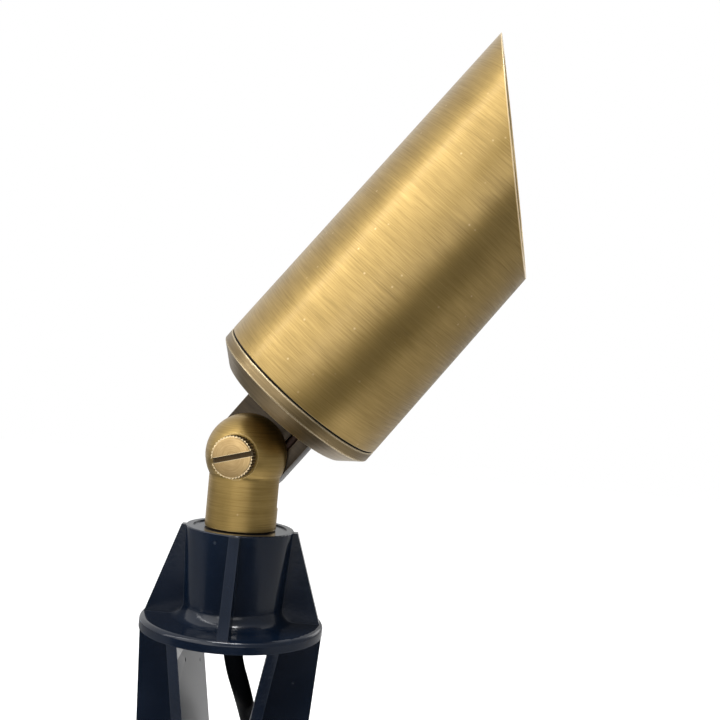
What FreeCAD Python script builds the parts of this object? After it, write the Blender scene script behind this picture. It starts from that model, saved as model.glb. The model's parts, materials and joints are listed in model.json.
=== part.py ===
import FreeCAD, Part
import math
import os

# Garden spike spotlight: a turned brass lamp head with a slant-cut cowl, tilting on a half-lap knuckle
# whose post screws into the hub of a moulded ground spike.  A two-core lead runs from the lamp holder
# down through the knuckle and out through the window between the legs of the spike.
#
# Row frame: millimetres, +Z up along the spike, origin on the spike's axis at the underside of its
# flange, which rests on the ground.  The legs of the spike stand at +X and -X.

SHEET = "Sizes"

# ------------------------------------------------------------------------------------------------
# Driving dimensions
# ------------------------------------------------------------------------------------------------

SIZES = {
    # how the light is set
    "lamp_elevation": 52.7,      # degrees of the lamp axis above level
    "swivel_turn": -12.4,        # degrees that the knuckle is turned about the spike's axis
    # spike: flange, hub and gussets
    "flange_radius": 32.0,
    "flange_thick": 4.0,
    "flange_round": 1.6,
    "hub_top_z": 35.75,
    "hub_top_radius": 18.95,
    "hub_foot_radius": 17.05,
    "hub_foot_round": 4.5,
    "hub_recess_radius": 16.4,
    "hub_recess_depth": 0.45,
    "hub_cavity_radius": 12.2,
    "hub_thread_foot_z": 24.0,
    "gusset_thick": 3.6,
    "gusset_head_radius": 20.4,
    "gusset_foot_radius": 30.9,
    "gusset_drop": 0.5,
    # spike: legs and blade
    "leg_gap_half": 14.6,
    "leg_plate_thick": 3.8,
    "leg_lean": 9.32,            # degrees that each leg plate leans inwards
    "fin_thick": 3.8,
    "leg_head_radius": 31.9,
    "blade_shoulder_z": -95.0,
    "blade_shoulder_radius": 26.5,
    "blade_waist_z": -185.0,
    "blade_waist_radius": 10.5,
    "blade_tip_z": -207.0,
    "blade_tip_radius": 1.6,
    # knuckle post
    "post_radius": 12.5,
    "post_chamfer": 0.5,
    "stub_radius": 10.35,
    "stub_length": 11.0,
    "stub_chamfer": 0.7,
    "lead_pocket_z": 29.0,
    "lead_pocket_radius": 6.2,
    "pivot_z": 61.4,
    "ball_radius": 14.5,
    "lap_floor_drop": 18.3,
    "lap_face_y": 0.5,
    "screw_seat_y": -12.2,
    "screw_seat_radius": 8.0,
    "screw_hole_radius": 3.2,
    "friction_washer_radius": 8.0,
    "friction_washer_thick": 0.5,
    # thumbscrew
    "thumb_head_radius": 7.35,
    "thumb_head_thick": 5.15,
    "thumb_chamfer": 0.35,
    "thumb_slot_width": 1.8,
    "thumb_slot_depth": 1.7,
    "thumb_slot_turn": 16.1,     # degrees
    "thumb_shank_radius": 3.0,
    "thumb_thread_reach": 8.95,  # how far the shank stands into the tongue
    "knurl_count": 40,
    "knurl_depth": 0.45,
    # tongue
    "tongue_half_width": 14.2,
    "tongue_thick": 10.5,
    "core_slot_x": 8.5,
    "core_slot_width": 3.0,
    "core_slot_depth": 5.4,
    "tongue_screw_gap": 8.5,
    "tongue_screw_x": -9.0,
    "tongue_screw_radius": 2.0,
    "tongue_screw_length": 12.0,
    # rear cap
    "cap_back_s": 21.2,
    "cap_cone_step": 6.7,        # how much smaller the back face is than the body
    "cap_band_s": 27.1,
    "body_radius": 32.5,
    "seam_s": 31.0,
    "cap_floor_thick": 4.0,
    "socket_wall": 2.1,          # between the spigot and the outside of the body
    "spigot_wall": 3.6,
    "spigot_length": 13.0,
    "edge_chamfer": 0.3,
    "gasket_thick": 0.5,
    "gasket_recess": 0.45,
    # cowl
    "cowl_taper": 1.01,          # degrees that the outside draws in towards the mouth
    "cowl_tip_s": 165.8,
    "cowl_cut": 47.7,            # degrees between the mouth's plane and the lamp axis
    "cowl_wall": 1.8,
    "socket_length": 14.8,
    "lens_bore_land": 0.37,      # how much thicker the wall is round the lens
    "lens_seat_s": 102.6,
    "lens_seat_width": 1.8,
    "lens_seat_thick": 2.0,
    "lens_thick": 3.0,
    "lens_gasket_thick": 0.6,
    "lens_ring_thick": 2.3,
    "lens_ring_width": 2.5,
    # lamp and its holder
    "bracket_top_s": 46.0,
    "bracket_thick": 1.0,
    "bracket_width": 16.0,
    "bracket_leg_y": 12.5,
    "bracket_foot_y": 19.5,
    "bracket_screw_y": 16.2,
    "small_screw_radius": 1.5,
    "holder_height": 11.0,
    "holder_width": 13.0,
    "holder_depth": 21.0,
    "holder_screw_y": 7.4,
    "pin_gap": 5.3,
    "pin_radius": 0.75,
    "pin_length": 7.5,
    "lamp_rim_radius": 25.2,
    "lamp_neck_radius": 9.0,
    "lamp_base_length": 11.0,
    "lamp_length": 38.0,
    "lamp_wall": 1.2,
    "capsule_radius": 4.6,
    "capsule_length": 15.0,
    # leads
    "lead_radius": 3.4,
    "core_radius": 1.1,
    "core_pair_gap": 2.5,
    "core_bend_s": 30.5,
    "core_bend_run": 11.0,
    "lead_top_z": 30.0,
    "lead_split_z": 12.0,
    "grommet_foot_z": 4.0,
    "grommet_foot_radius": 4.9,
    "hank_waist_half": 11.0,
    "hank_end_radius": 20.6,
    "hank_reach": 33.6,
    "hank_turns": 3,
    "hank_step": 7.6,
    "hank_middle_z": -138.0,
    "hank_front_y": 44.0,
    "tie_width": 9.0,
    "tie_thick": 1.2,
    "strand_radius": 0.65,
    # clearances
    "run_clear": 0.05,
    "free_clear": 0.3,
}

doc = FreeCAD.newDocument("garden_spike_spotlight")


class Size:
    """A length or angle: its value, and the expression that binds a property to the sheet."""

    def __init__(self, value, text):
        self.value = float(value)
        self.text = text

    def _with(self, other, sign, result):
        other = as_size(other)
        return Size(result(self.value, other.value), "(%s %s %s)" % (self.text, sign, other.text))

    def __add__(self, other):
        return self._with(other, "+", lambda a, b: a + b)

    def __sub__(self, other):
        return self._with(other, "-", lambda a, b: a - b)

    def __mul__(self, other):
        return self._with(other, "*", lambda a, b: a * b)

    def __truediv__(self, other):
        return self._with(other, "/", lambda a, b: a / b)

    def __radd__(self, other):
        return as_size(other) + self

    def __rsub__(self, other):
        return as_size(other) - self

    def __rmul__(self, other):
        return as_size(other) * self

    def __neg__(self):
        return Size(-self.value, "(0 - %s)" % self.text)


def as_size(number):
    """A plain number as a Size; a Size stays as it is."""
    return number if isinstance(number, Size) else Size(number, "%.9g" % number)


def tangent(angle):
    """The tangent of a Size in degrees."""
    angle = as_size(angle)
    return Size(math.tan(math.radians(angle.value)), "tan(%s)" % angle.text)


def root(number):
    """The square root of a Size."""
    return Size(math.sqrt(number.value), "sqrt(%s)" % number.text)


class SizeTable:
    """Gives each driving dimension as a Size, by its name."""

    def __getattr__(self, alias):
        return Size(SIZES[alias], SHEET + "." + alias)


def fill_sheet():
    """Write the driving dimensions into the spreadsheet, one row each."""
    sheet = doc.addObject("Spreadsheet::Sheet", SHEET)
    for row, (alias, value) in enumerate(SIZES.items(), start=1):
        sheet.set("A%d" % row, alias)
        sheet.set("B%d" % row, "%.9g" % value)
        sheet.setAlias("B%d" % row, alias)
    doc.recompute()
    return sheet


fill_sheet()
D = SizeTable()


# ------------------------------------------------------------------------------------------------
# Helpers: primitives, sketches, booleans
# ------------------------------------------------------------------------------------------------

def bind(obj, **sizes):
    """Bind properties of an object to sheet expressions."""
    for prop, size in sizes.items():
        obj.setExpression(prop, as_size(size).text)
    return obj


def place(obj, at=(0, 0, 0), turn=None):
    """Place a primitive: its rotation as it stands, its base point bound to the sheet."""
    if turn is not None:
        obj.Placement = FreeCAD.Placement(FreeCAD.Vector(0, 0, 0), turn)
    for axis, size in zip("xyz", at):
        obj.setExpression("Placement.Base." + axis, as_size(size).text)
    return obj


ALONG_X = FreeCAD.Rotation(FreeCAD.Vector(0, 1, 0), 90)
ALONG_Y = FreeCAD.Rotation(FreeCAD.Vector(1, 0, 0), -90)


def cylinder(name, radius, height, at=(0, 0, 0), turn=None):
    """A cylinder that starts at a point and runs along Z, or along the turned axis."""
    obj = doc.addObject("Part::Cylinder", name)
    return place(bind(obj, Radius=radius, Height=height), at, turn)


def cone(name, foot_radius, head_radius, height, at=(0, 0, 0)):
    """A cone frustum that stands on a point."""
    obj = doc.addObject("Part::Cone", name)
    return place(bind(obj, Radius1=foot_radius, Radius2=head_radius, Height=height), at)


def sphere(name, radius, at=(0, 0, 0)):
    """A ball about a point."""
    return place(bind(doc.addObject("Part::Sphere", name), Radius=radius), at)


def block(name, x, y, z):
    """A box between pairs of coordinates: x, y and z are (low, high)."""
    obj = doc.addObject("Part::Box", name)
    low = [as_size(pair[0]) for pair in (x, y, z)]
    span = [as_size(pair[1]) - pair[0] for pair in (x, y, z)]
    return place(bind(obj, Length=span[0], Width=span[1], Height=span[2]), low)


def fuse(name, parts):
    """The union of several shapes."""
    obj = doc.addObject("Part::MultiFuse", name)
    obj.Shapes = parts
    obj.Refine = True
    return obj


def cut(name, base, tools):
    """A shape with other shapes cut out of it."""
    obj = doc.addObject("Part::Cut", name)
    obj.Base = base
    obj.Tool = tools[0] if len(tools) == 1 else fuse(name + "_tools", tools)
    obj.Refine = True
    return obj


def common(name, first, second):
    """What two shapes share."""
    obj = doc.addObject("Part::Common", name)
    obj.Base = first
    obj.Tool = second
    obj.Refine = True
    return obj


def fix_point(sketch, geometry, end, point):
    """Hold one end of a line at a point, each coordinate bound to the sheet or laid on its axis."""
    for kind, axis, size in (("DistanceX", -2, point[0]), ("DistanceY", -1, point[1])):
        size = as_size(size)
        if abs(size.value) < 1e-9:
            sketch.addConstraint(Part_constraint("PointOnObject", geometry, end, axis))
            continue
        sign = 1 if size.value > 0 else -1
        ends = (-1, 1, geometry, end) if sign > 0 else (geometry, end, -1, 1)
        index = sketch.addConstraint(Part_constraint(kind, *ends, abs(size.value)))
        sketch.setExpression("Constraints[%d]" % index, (size if sign > 0 else -size).text)


def Part_constraint(*terms):
    """A sketch constraint."""
    import Sketcher
    return Sketcher.Constraint(*terms)


def outline(sketch, points):
    """Draw a closed outline of straight lines through the points."""
    count = len(points)
    corners = [FreeCAD.Vector(as_size(x).value, as_size(y).value, 0) for x, y in points]
    for index in range(count):
        sketch.addGeometry(Part.LineSegment(corners[index], corners[(index + 1) % count]), False)
    for index in range(count):
        sketch.addConstraint(Part_constraint("Coincident", index, 2, (index + 1) % count, 1))
    for index, point in enumerate(points):
        fix_point(sketch, index, 1, point)


def body_sketch(body, role, name):
    """A sketch on one of the origin planes of its own body."""
    sketch = body.newObject("Sketcher::SketchObject", name)
    plane = [item for item in body.Origin.OriginFeatures if item.Role == role][0]
    sketch.AttachmentSupport = [(plane, "")]
    sketch.MapMode = "FlatFace"
    return sketch


def turned(name, points):
    """A body turned about Z from an outline of (radius, height) points."""
    body = doc.addObject("PartDesign::Body", name)
    sketch = body_sketch(body, "XZ_Plane", name + "_outline")
    outline(sketch, points)
    turn = body.newObject("PartDesign::Revolution", name + "_turning")
    turn.Profile = sketch
    turn.ReferenceAxis = (sketch, ["V_Axis"])
    turn.Angle = 360
    sketch.Visibility = False
    return body


def slab(name, points, y):
    """A plate with an outline in the XZ plane, between two values of Y."""
    sketch = doc.addObject("Sketcher::SketchObject", name + "_outline")
    sketch.Placement = FreeCAD.Placement(FreeCAD.Vector(0, 0, 0), FreeCAD.Rotation(FreeCAD.Vector(1, 0, 0), 90))
    outline(sketch, points)
    obj = doc.addObject("Part::Extrusion", name)
    obj.Base = sketch
    obj.DirMode = "Custom"
    obj.Dir = FreeCAD.Vector(0, 1, 0)
    obj.Solid = True
    bind(obj, LengthFwd=y[1], LengthRev=-as_size(y[0]))
    return obj


PIECES = []


def piece(name, obj, where=None):
    """Name a finished sub-part and put it in its place."""
    obj.Label = name
    if where is not None:
        obj.Placement = where
    PIECES.append((name, obj))
    return obj


def vector(*numbers):
    """A vector from plain numbers or Sizes."""
    return FreeCAD.Vector(*[as_size(number).value for number in numbers])


# where the knuckle and the lamp head stand: the knuckle is turned about Z, and the head is built with
# its pivot at the origin and its axis along +Z, then laid over towards +X
SWIVEL = FreeCAD.Rotation(FreeCAD.Vector(0, 0, 1), SIZES["swivel_turn"])
LEAN = FreeCAD.Rotation(FreeCAD.Vector(0, 1, 0), 90 - SIZES["lamp_elevation"])
KNUCKLE_PLACE = FreeCAD.Placement(FreeCAD.Vector(0, 0, 0), SWIVEL)
HEAD_PLACE = FreeCAD.Placement(vector(0, 0, D.pivot_z), SWIVEL.multiply(LEAN))


def ring_edges(shape, radius, height):
    """Names of the circular edges about Z with a radius, at a height."""
    names = []
    for index, edge in enumerate(shape.Edges, start=1):
        curve = edge.Curve
        if not isinstance(curve, Part.Circle):
            continue
        same_radius = abs(curve.Radius - as_size(radius).value) < 1e-4
        if same_radius and abs(curve.Center.z - as_size(height).value) < 1e-4:
            names.append("Edge%d" % index)
    return names


def round_ring(body, name, radius, height, size):
    """Round the circular edges of a turned body at a radius and height."""
    doc.recompute()
    names = ring_edges(body.Tip.Shape, radius, height)
    if not names:
        raise RuntimeError("no edge to round for " + name)
    fillet = body.newObject("PartDesign::Fillet", name)
    fillet.Base = (body.Tip, names) if body.Tip is not fillet else (fillet.BaseFeature, names)
    bind(fillet, Radius=size)
    doc.recompute()
    return fillet


def screw(name, shank_radius, length, head_radius, head_height, x, y, seat):
    """A slotted pan-head screw along Z: its head stands on the seat, its shank runs down from it."""
    shank = cylinder(name + "_shank", shank_radius, length + D.edge_chamfer, (x, y, seat - length))
    head = cylinder(name + "_pan", head_radius, head_height, (x, y, seat))
    slot = block(name + "_slot", (x - head_radius, x + head_radius),
                 (y - head_height * 0.2, y + head_height * 0.2),
                 (seat + head_height * 0.5, seat + head_height * 2))
    return cut(name, fuse(name + "_blank", [shank, head]), [slot])


def group(name, members):
    """Identical fasteners kept as one node of separate solids."""
    obj = doc.addObject("Part::Compound", name)
    obj.Links = members
    return obj


# ------------------------------------------------------------------------------------------------
# Ground spike: flange, hub with four gussets, two leaning legs that run together into a blade
# ------------------------------------------------------------------------------------------------

def build_spike():
    """The moulded ground spike as one solid."""
    hub = turned("spike_hub", [
        (0, 0), (D.flange_radius, 0), (D.flange_radius, D.flange_thick),
        (D.hub_foot_radius, D.flange_thick), (D.hub_top_radius, D.hub_top_z), (0, D.hub_top_z)])
    doc.recompute()
    round_ring(hub, "flange_edge", D.flange_radius, D.flange_thick, D.flange_round)
    round_ring(hub, "hub_foot", D.hub_foot_radius, D.flange_thick, D.hub_foot_round)
    round_ring(hub, "hub_rim", D.hub_top_radius, D.hub_top_z, D.hub_recess_depth)

    gusset_head_z = D.hub_top_z - D.gusset_drop
    gusset_foot_z = D.flange_thick - D.gusset_drop
    gusset_points = [
        (-D.gusset_foot_radius, gusset_foot_z), (D.gusset_foot_radius, gusset_foot_z),
        (D.gusset_head_radius, gusset_head_z), (-D.gusset_head_radius, gusset_head_z)]
    half = D.gusset_thick / 2
    side_gussets = slab("side_gussets", gusset_points, (-half, half))
    front_gussets = slab("front_gussets", gusset_points, (-half, half))
    front_gussets.Placement = FreeCAD.Placement(
        FreeCAD.Vector(0, 0, 0), FreeCAD.Rotation(FreeCAD.Vector(0, 0, 1), 90))

    # the legs: a chord plate that leans inwards on each side, with a radial fin outside it
    root_z = D.flange_thick / 4
    lean = tangent(D.leg_lean)
    outer_half = D.leg_gap_half + D.leg_plate_thick
    notch_half = D.leg_plate_thick / 6
    notch_z = -(D.leg_gap_half - notch_half) / lean
    merge_z = -(outer_half - D.leg_plate_thick) / lean
    plate_points = [
        (outer_half + lean * root_z, root_z), (D.leg_plate_thick, merge_z),
        (D.fin_thick / 2, D.blade_shoulder_z * 1.15), (D.fin_thick / 3, D.blade_tip_z),
        (-D.fin_thick / 3, D.blade_tip_z), (-D.fin_thick / 2, D.blade_shoulder_z * 1.15),
        (-D.leg_plate_thick, merge_z), (-(outer_half + lean * root_z), root_z),
        (-(D.leg_gap_half + lean * root_z), root_z), (-notch_half, notch_z),
        (notch_half, notch_z), (D.leg_gap_half + lean * root_z, root_z)]
    plates = slab("leg_plates", plate_points, (-D.flange_radius, D.flange_radius))
    fin_foot_z = -(D.leg_gap_half + D.leg_plate_thick / 2) / lean
    fin_inner = D.leg_gap_half + D.leg_plate_thick / 2 + lean * root_z
    fin_points = [
        (D.leg_head_radius, root_z), (D.blade_shoulder_radius, D.blade_shoulder_z),
        (D.blade_waist_radius, D.blade_waist_z), (D.blade_tip_radius, D.blade_tip_z),
        (-D.blade_tip_radius, D.blade_tip_z), (-D.blade_waist_radius, D.blade_waist_z),
        (-D.blade_shoulder_radius, D.blade_shoulder_z), (-D.leg_head_radius, root_z),
        (-fin_inner, root_z), (0, fin_foot_z), (fin_inner, root_z)]
    fins = slab("leg_fins", fin_points, (-D.fin_thick / 2, D.fin_thick / 2))
    envelope = turned("leg_envelope", [
        (0, root_z), (D.leg_head_radius, root_z), (D.blade_shoulder_radius, D.blade_shoulder_z),
        (D.blade_waist_radius, D.blade_waist_z), (D.blade_tip_radius, D.blade_tip_z),
        (0, D.blade_tip_z)])
    legs = common("legs", fuse("leg_blank", [plates, fins]), envelope)

    thread_radius = D.stub_radius + D.run_clear
    seat_z = D.hub_top_z - D.hub_recess_depth
    recess = cylinder("hub_recess", D.hub_recess_radius, D.hub_recess_depth * 2, (0, 0, seat_z))
    thread = cylinder("hub_thread", thread_radius, D.hub_top_z, (0, 0, D.hub_thread_foot_z))
    cavity = cylinder("hub_cavity", D.hub_cavity_radius, D.hub_thread_foot_z + D.flange_thick,
                      (0, 0, -D.flange_thick))
    spike = cut("spike_cut", fuse("spike_blank", [hub, side_gussets, front_gussets, legs]),
                [recess, thread, cavity])
    return piece("ground_spike", spike)


# ------------------------------------------------------------------------------------------------
# Knuckle: post with a half-lap ball, friction washer, thumbscrew
# ------------------------------------------------------------------------------------------------

def build_post():
    """The brass post: threaded stub, round post and ball with its rear half cut away."""
    foot_z = D.hub_top_z - D.hub_recess_depth + D.run_clear
    stub_z = foot_z - D.stub_length
    turned_post = turned("post_turned", [
        (0, stub_z), (D.stub_radius - D.stub_chamfer, stub_z),
        (D.stub_radius, stub_z + D.stub_chamfer), (D.stub_radius, foot_z),
        (D.post_radius - D.post_chamfer, foot_z), (D.post_radius, foot_z + D.post_chamfer),
        (D.post_radius, D.pivot_z), (0, D.pivot_z)])
    ball = sphere("post_ball", D.ball_radius, (0, 0, D.pivot_z))
    reach = D.ball_radius * 1.5
    lap = block("post_lap", (-reach, reach), (D.lap_face_y, reach),
                (D.pivot_z - D.lap_floor_drop, D.pivot_z + reach))
    seat = cylinder("post_screw_seat", D.screw_seat_radius, reach + D.screw_seat_y,
                    (0, -reach, D.pivot_z), ALONG_Y)
    hole = cylinder("post_screw_hole", D.screw_hole_radius, reach * 2, (0, -reach, D.pivot_z), ALONG_Y)
    bore = cylinder("post_bore", D.lead_radius, D.lead_pocket_z - stub_z + D.flange_thick,
                    (0, 0, stub_z - D.flange_thick))
    pocket = cylinder("post_pocket", D.lead_pocket_radius,
                      D.pivot_z - D.lap_floor_drop - D.lead_pocket_z, (0, 0, D.lead_pocket_z))
    post = cut("post_cut", fuse("post_blank", [turned_post, ball]), [lap, seat, hole, bore, pocket])
    piece("knuckle_post", post, KNUCKLE_PLACE)

    washer = cut("washer_cut",
                 cylinder("washer_disc", D.friction_washer_radius, D.friction_washer_thick,
                          (0, D.lap_face_y, D.pivot_z), ALONG_Y),
                 [cylinder("washer_hole", D.screw_hole_radius, reach, (0, 0, D.pivot_z), ALONG_Y)])
    piece("friction_washer", washer, KNUCKLE_PLACE)


def build_thumbscrew():
    """The knurled thumbscrew, built with its face at Z 0 and its shank towards -Z."""
    seat_to_tongue = tongue_near() - D.screw_seat_y
    length = D.thumb_head_thick + D.run_clear + seat_to_tongue + D.thumb_thread_reach
    body = turned("thumb_turned", [
        (0, 0), (D.thumb_head_radius - D.thumb_chamfer, 0),
        (D.thumb_head_radius, -D.thumb_chamfer),
        (D.thumb_head_radius, -(D.thumb_head_thick - D.thumb_chamfer)),
        (D.thumb_head_radius - D.thumb_chamfer, -D.thumb_head_thick),
        (D.thumb_shank_radius, -D.thumb_head_thick),
        (D.thumb_shank_radius, -(length - D.edge_chamfer)),
        (D.thumb_shank_radius - D.edge_chamfer, -length), (0, -length)])
    doc.recompute()
    full = body.Shape.Volume

    sketch = body_sketch(body, "XY_Plane", "knurl_outline")
    outline(sketch, [
        (D.thumb_head_radius - D.knurl_depth, 0),
        (D.thumb_head_radius + D.knurl_depth, -D.knurl_depth * 1.7),
        (D.thumb_head_radius + D.knurl_depth, D.knurl_depth * 1.7)])
    knurl = body.newObject("PartDesign::Pocket", "knurl")
    knurl.Profile = sketch
    bind(knurl, Length=D.thumb_head_thick)
    sketch.Visibility = False
    doc.recompute()
    if body.Shape.Volume > full - 1e-3:
        raise RuntimeError("the knurl removes nothing")
    ring = body.newObject("PartDesign::PolarPattern", "knurl_ring")
    ring.Originals = [knurl]
    axis = [item for item in body.Origin.OriginFeatures if item.Role == "Z_Axis"][0]
    ring.Axis = (axis, [""])
    ring.Angle = 360
    bind(ring, Occurrences=D.knurl_count)
    body.Tip = ring
    doc.recompute()

    reach = D.thumb_head_radius * 1.5
    slot = slab("thumb_slot", [
        (-reach, -D.thumb_slot_depth), (reach, -D.thumb_slot_depth),
        (reach, D.thumb_slot_depth), (-reach, D.thumb_slot_depth)],
        (-D.thumb_slot_width / 2, D.thumb_slot_width / 2))
    slot.Placement = FreeCAD.Placement(
        FreeCAD.Vector(0, 0, 0), FreeCAD.Rotation(FreeCAD.Vector(0, 0, 1), SIZES["thumb_slot_turn"]))
    face_y = D.screw_seat_y - D.run_clear - D.thumb_head_thick
    outward = FreeCAD.Placement(vector(0, face_y, D.pivot_z), FreeCAD.Rotation(FreeCAD.Vector(1, 0, 0), 90))
    piece("thumbscrew", cut("thumb_cut", body, [slot]), KNUCKLE_PLACE.multiply(outward))


# ------------------------------------------------------------------------------------------------
# Lamp head, built about the pivot with the lamp axis along +Z and its underside towards +X
# ------------------------------------------------------------------------------------------------

def tongue_near():
    """Y of the tongue's face towards the post."""
    return D.lap_face_y + D.friction_washer_thick + D.run_clear


def core_y(side):
    """Y of one of the two insulated cores in the tongue's channel."""
    return tongue_near() + D.core_slot_depth / 2 + side * D.core_pair_gap / 2


def tongue_screw_places():
    """X and Y of the two screws that hold the tongue to the rear cap."""
    middle = tongue_near() + D.tongue_thick / 2
    return [(D.tongue_screw_x, middle), (D.tongue_screw_x + D.tongue_screw_gap, middle)]


def build_tongue():
    """The tongue that stands out from the rear cap, its end rounded about the pivot."""
    near = tongue_near()
    far = near + D.tongue_thick
    reach = D.tongue_half_width * 2
    bar = block("tongue_bar", (-D.tongue_half_width, D.tongue_half_width), (near, far), (0, D.cap_back_s))
    end = cylinder("tongue_end", D.tongue_half_width, D.tongue_thick, (0, near, 0), ALONG_Y)
    thread = cylinder("tongue_thread", D.thumb_shank_radius + D.run_clear, reach, (0, -D.tongue_half_width, 0),
                      ALONG_Y)
    slot = block("tongue_slot",
                 (D.core_slot_x - D.core_slot_width / 2, D.core_slot_x + D.core_slot_width / 2),
                 (-reach, near + D.core_slot_depth), (-reach, D.cap_back_s + D.cap_floor_thick))
    tools = [thread, slot]
    screws = []
    seat = D.cap_back_s + D.cap_floor_thick
    length = D.tongue_screw_length + D.cap_floor_thick
    for number, (x, y) in enumerate(tongue_screw_places(), start=1):
        tools.append(cylinder("tongue_screw_hole_%d" % number, D.tongue_screw_radius, length,
                              (x, y, seat - length)))
        screws.append(screw("tongue_screw_%d" % number, D.tongue_screw_radius, length,
                            D.tongue_screw_radius * 1.8, D.tongue_screw_radius * 1.2, x, y, seat))
    piece("knuckle_tongue", cut("tongue_cut", fuse("tongue_blank", [bar, end]), tools), HEAD_PLACE)
    piece("tongue_screws", group("tongue_screws_group", screws), HEAD_PLACE)


def spigot_radius():
    """The outside radius of the spigot, which the cowl's wall goes round."""
    return D.body_radius - D.socket_wall


def build_cap():
    """The rear cap: back face, cone, band and the spigot that the cowl slides over."""
    back_radius = D.body_radius - D.cap_cone_step
    bore_radius = spigot_radius() - D.spigot_wall
    floor = D.cap_back_s + D.cap_floor_thick
    band_end = D.seam_s - D.gasket_thick / 2
    rim = band_end + D.spigot_length
    turned_cap = turned("cap_turned", [
        (0, D.cap_back_s), (back_radius - D.edge_chamfer, D.cap_back_s),
        (back_radius, D.cap_back_s + D.edge_chamfer), (D.body_radius, D.cap_band_s),
        (D.body_radius, band_end - D.edge_chamfer), (D.body_radius - D.edge_chamfer, band_end),
        (spigot_radius(), band_end), (spigot_radius(), rim - D.edge_chamfer),
        (spigot_radius() - D.edge_chamfer, rim), (bore_radius, rim),
        (bore_radius, floor), (0, floor)])
    bush_y = tongue_near() + D.core_slot_depth / 2
    bush_radius = D.core_pair_gap / 2 + D.core_radius * 2
    tools = [cylinder("cap_bush_hole", bush_radius, D.cap_floor_thick * 2,
                      (D.core_slot_x, bush_y, D.cap_back_s - D.cap_floor_thick / 2))]
    for number, (x, y) in enumerate(tongue_screw_places(), start=1):
        tools.append(cylinder("cap_screw_hole_%d" % number, D.tongue_screw_radius,
                              D.cap_floor_thick * 2, (x, y, D.cap_back_s - D.cap_floor_thick / 2)))
    depth = D.cap_floor_thick * 0.8
    for number, side in enumerate((-1, 1), start=1):
        tools.append(cylinder("cap_foot_hole_%d" % number, D.small_screw_radius, depth * 2,
                              (0, side * D.bracket_screw_y, floor - depth)))
    piece("rear_cap", cut("cap_cut", turned_cap, tools), HEAD_PLACE)

    bush = fuse("bush_blank", [
        cylinder("bush_barrel", bush_radius, D.cap_floor_thick, (D.core_slot_x, bush_y, D.cap_back_s)),
        cylinder("bush_lip", bush_radius + 1, D.bracket_thick, (D.core_slot_x, bush_y, floor))])
    holes = [cylinder("bush_hole_%d" % number, D.core_radius, D.cap_floor_thick * 3,
                      (D.core_slot_x, core_y(side), D.cap_back_s - D.cap_floor_thick))
             for number, side in enumerate((-1, 1), start=1)]
    piece("cap_bush", cut("bush_cut", bush, holes), HEAD_PLACE)

    seal = turned("cap_seal_turned", [
        (spigot_radius(), band_end), (D.body_radius - D.gasket_recess, band_end),
        (D.body_radius - D.gasket_recess, band_end + D.gasket_thick),
        (spigot_radius(), band_end + D.gasket_thick)])
    piece("seam_gasket", seal, HEAD_PLACE)


def build_holder():
    """The bracket inside the cap, and the ceramic lamp holder that stands on it."""
    floor = D.cap_back_s + D.cap_floor_thick
    top = D.bracket_top_s
    half = D.bracket_width / 2
    strips = [block("bracket_top", (-half, half), (-D.bracket_leg_y, D.bracket_leg_y),
                    (top - D.bracket_thick, top))]
    tools = [cylinder("bracket_core_hole", D.pin_gap, D.bracket_thick * 3,
                      (0, 0, top - D.bracket_thick * 2))]
    foot_screws = []
    holder_screws = []
    holder_seat = top + D.holder_height - D.small_screw_radius * 2.4
    holder_tools = []
    for number, side in enumerate((-1, 1), start=1):
        inner = side * (D.bracket_leg_y - D.bracket_thick)
        outer = side * D.bracket_leg_y
        toe = side * D.bracket_foot_y
        strips.append(block("bracket_leg_%d" % number, (-half, half),
                            (inner, outer) if side > 0 else (outer, inner), (floor, top)))
        strips.append(block("bracket_foot_%d" % number, (-half, half),
                            (inner, toe) if side > 0 else (toe, inner),
                            (floor, floor + D.bracket_thick)))
        tools.append(cylinder("bracket_foot_hole_%d" % number, D.small_screw_radius,
                              D.bracket_thick * 3,
                              (0, side * D.bracket_screw_y, floor - D.bracket_thick)))
        tools.append(cylinder("bracket_top_hole_%d" % number, D.small_screw_radius,
                              D.bracket_thick * 3,
                              (0, side * D.holder_screw_y, top - D.bracket_thick * 2)))
        foot_screws.append(screw("foot_screw_%d" % number, D.small_screw_radius,
                                 D.cap_floor_thick * 0.8 + D.bracket_thick,
                                 D.small_screw_radius * 1.8, D.small_screw_radius * 1.2,
                                 0, side * D.bracket_screw_y, floor + D.bracket_thick))
        holder_length = holder_seat - top + D.bracket_thick * 2
        holder_screws.append(screw("holder_screw_%d" % number, D.small_screw_radius, holder_length,
                                   D.small_screw_radius * 1.7, D.small_screw_radius * 1.1,
                                   0, side * D.holder_screw_y, holder_seat))
        holder_tools.append(cylinder("holder_hole_%d" % number, D.small_screw_radius,
                                     D.holder_height * 2,
                                     (0, side * D.holder_screw_y, top - D.bracket_thick)))
        holder_tools.append(cylinder("holder_sink_%d" % number, D.small_screw_radius * 1.8,
                                     D.holder_height, (0, side * D.holder_screw_y, holder_seat)))
        holder_tools.append(cylinder("holder_pin_hole_%d" % number, D.pin_radius, D.holder_height * 2,
                                     (0, side * D.pin_gap / 2, top - D.bracket_thick)))
        holder_tools.append(cylinder("holder_core_hole_%d" % number, D.core_radius,
                                     D.holder_height - D.pin_length + D.bracket_thick,
                                     (0, side * D.pin_gap / 2, top - D.bracket_thick)))
    piece("holder_bracket", cut("bracket_cut", fuse("bracket_blank", strips), tools), HEAD_PLACE)
    piece("bracket_screws", group("foot_screw_group", foot_screws), HEAD_PLACE)
    socket = block("holder_block", (-D.holder_width / 2, D.holder_width / 2),
                   (-D.holder_depth / 2, D.holder_depth / 2), (top, top + D.holder_height))
    piece("lamp_holder", cut("holder_cut", socket, holder_tools), HEAD_PLACE)
    piece("holder_screws", group("holder_screw_group", holder_screws), HEAD_PLACE)


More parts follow.
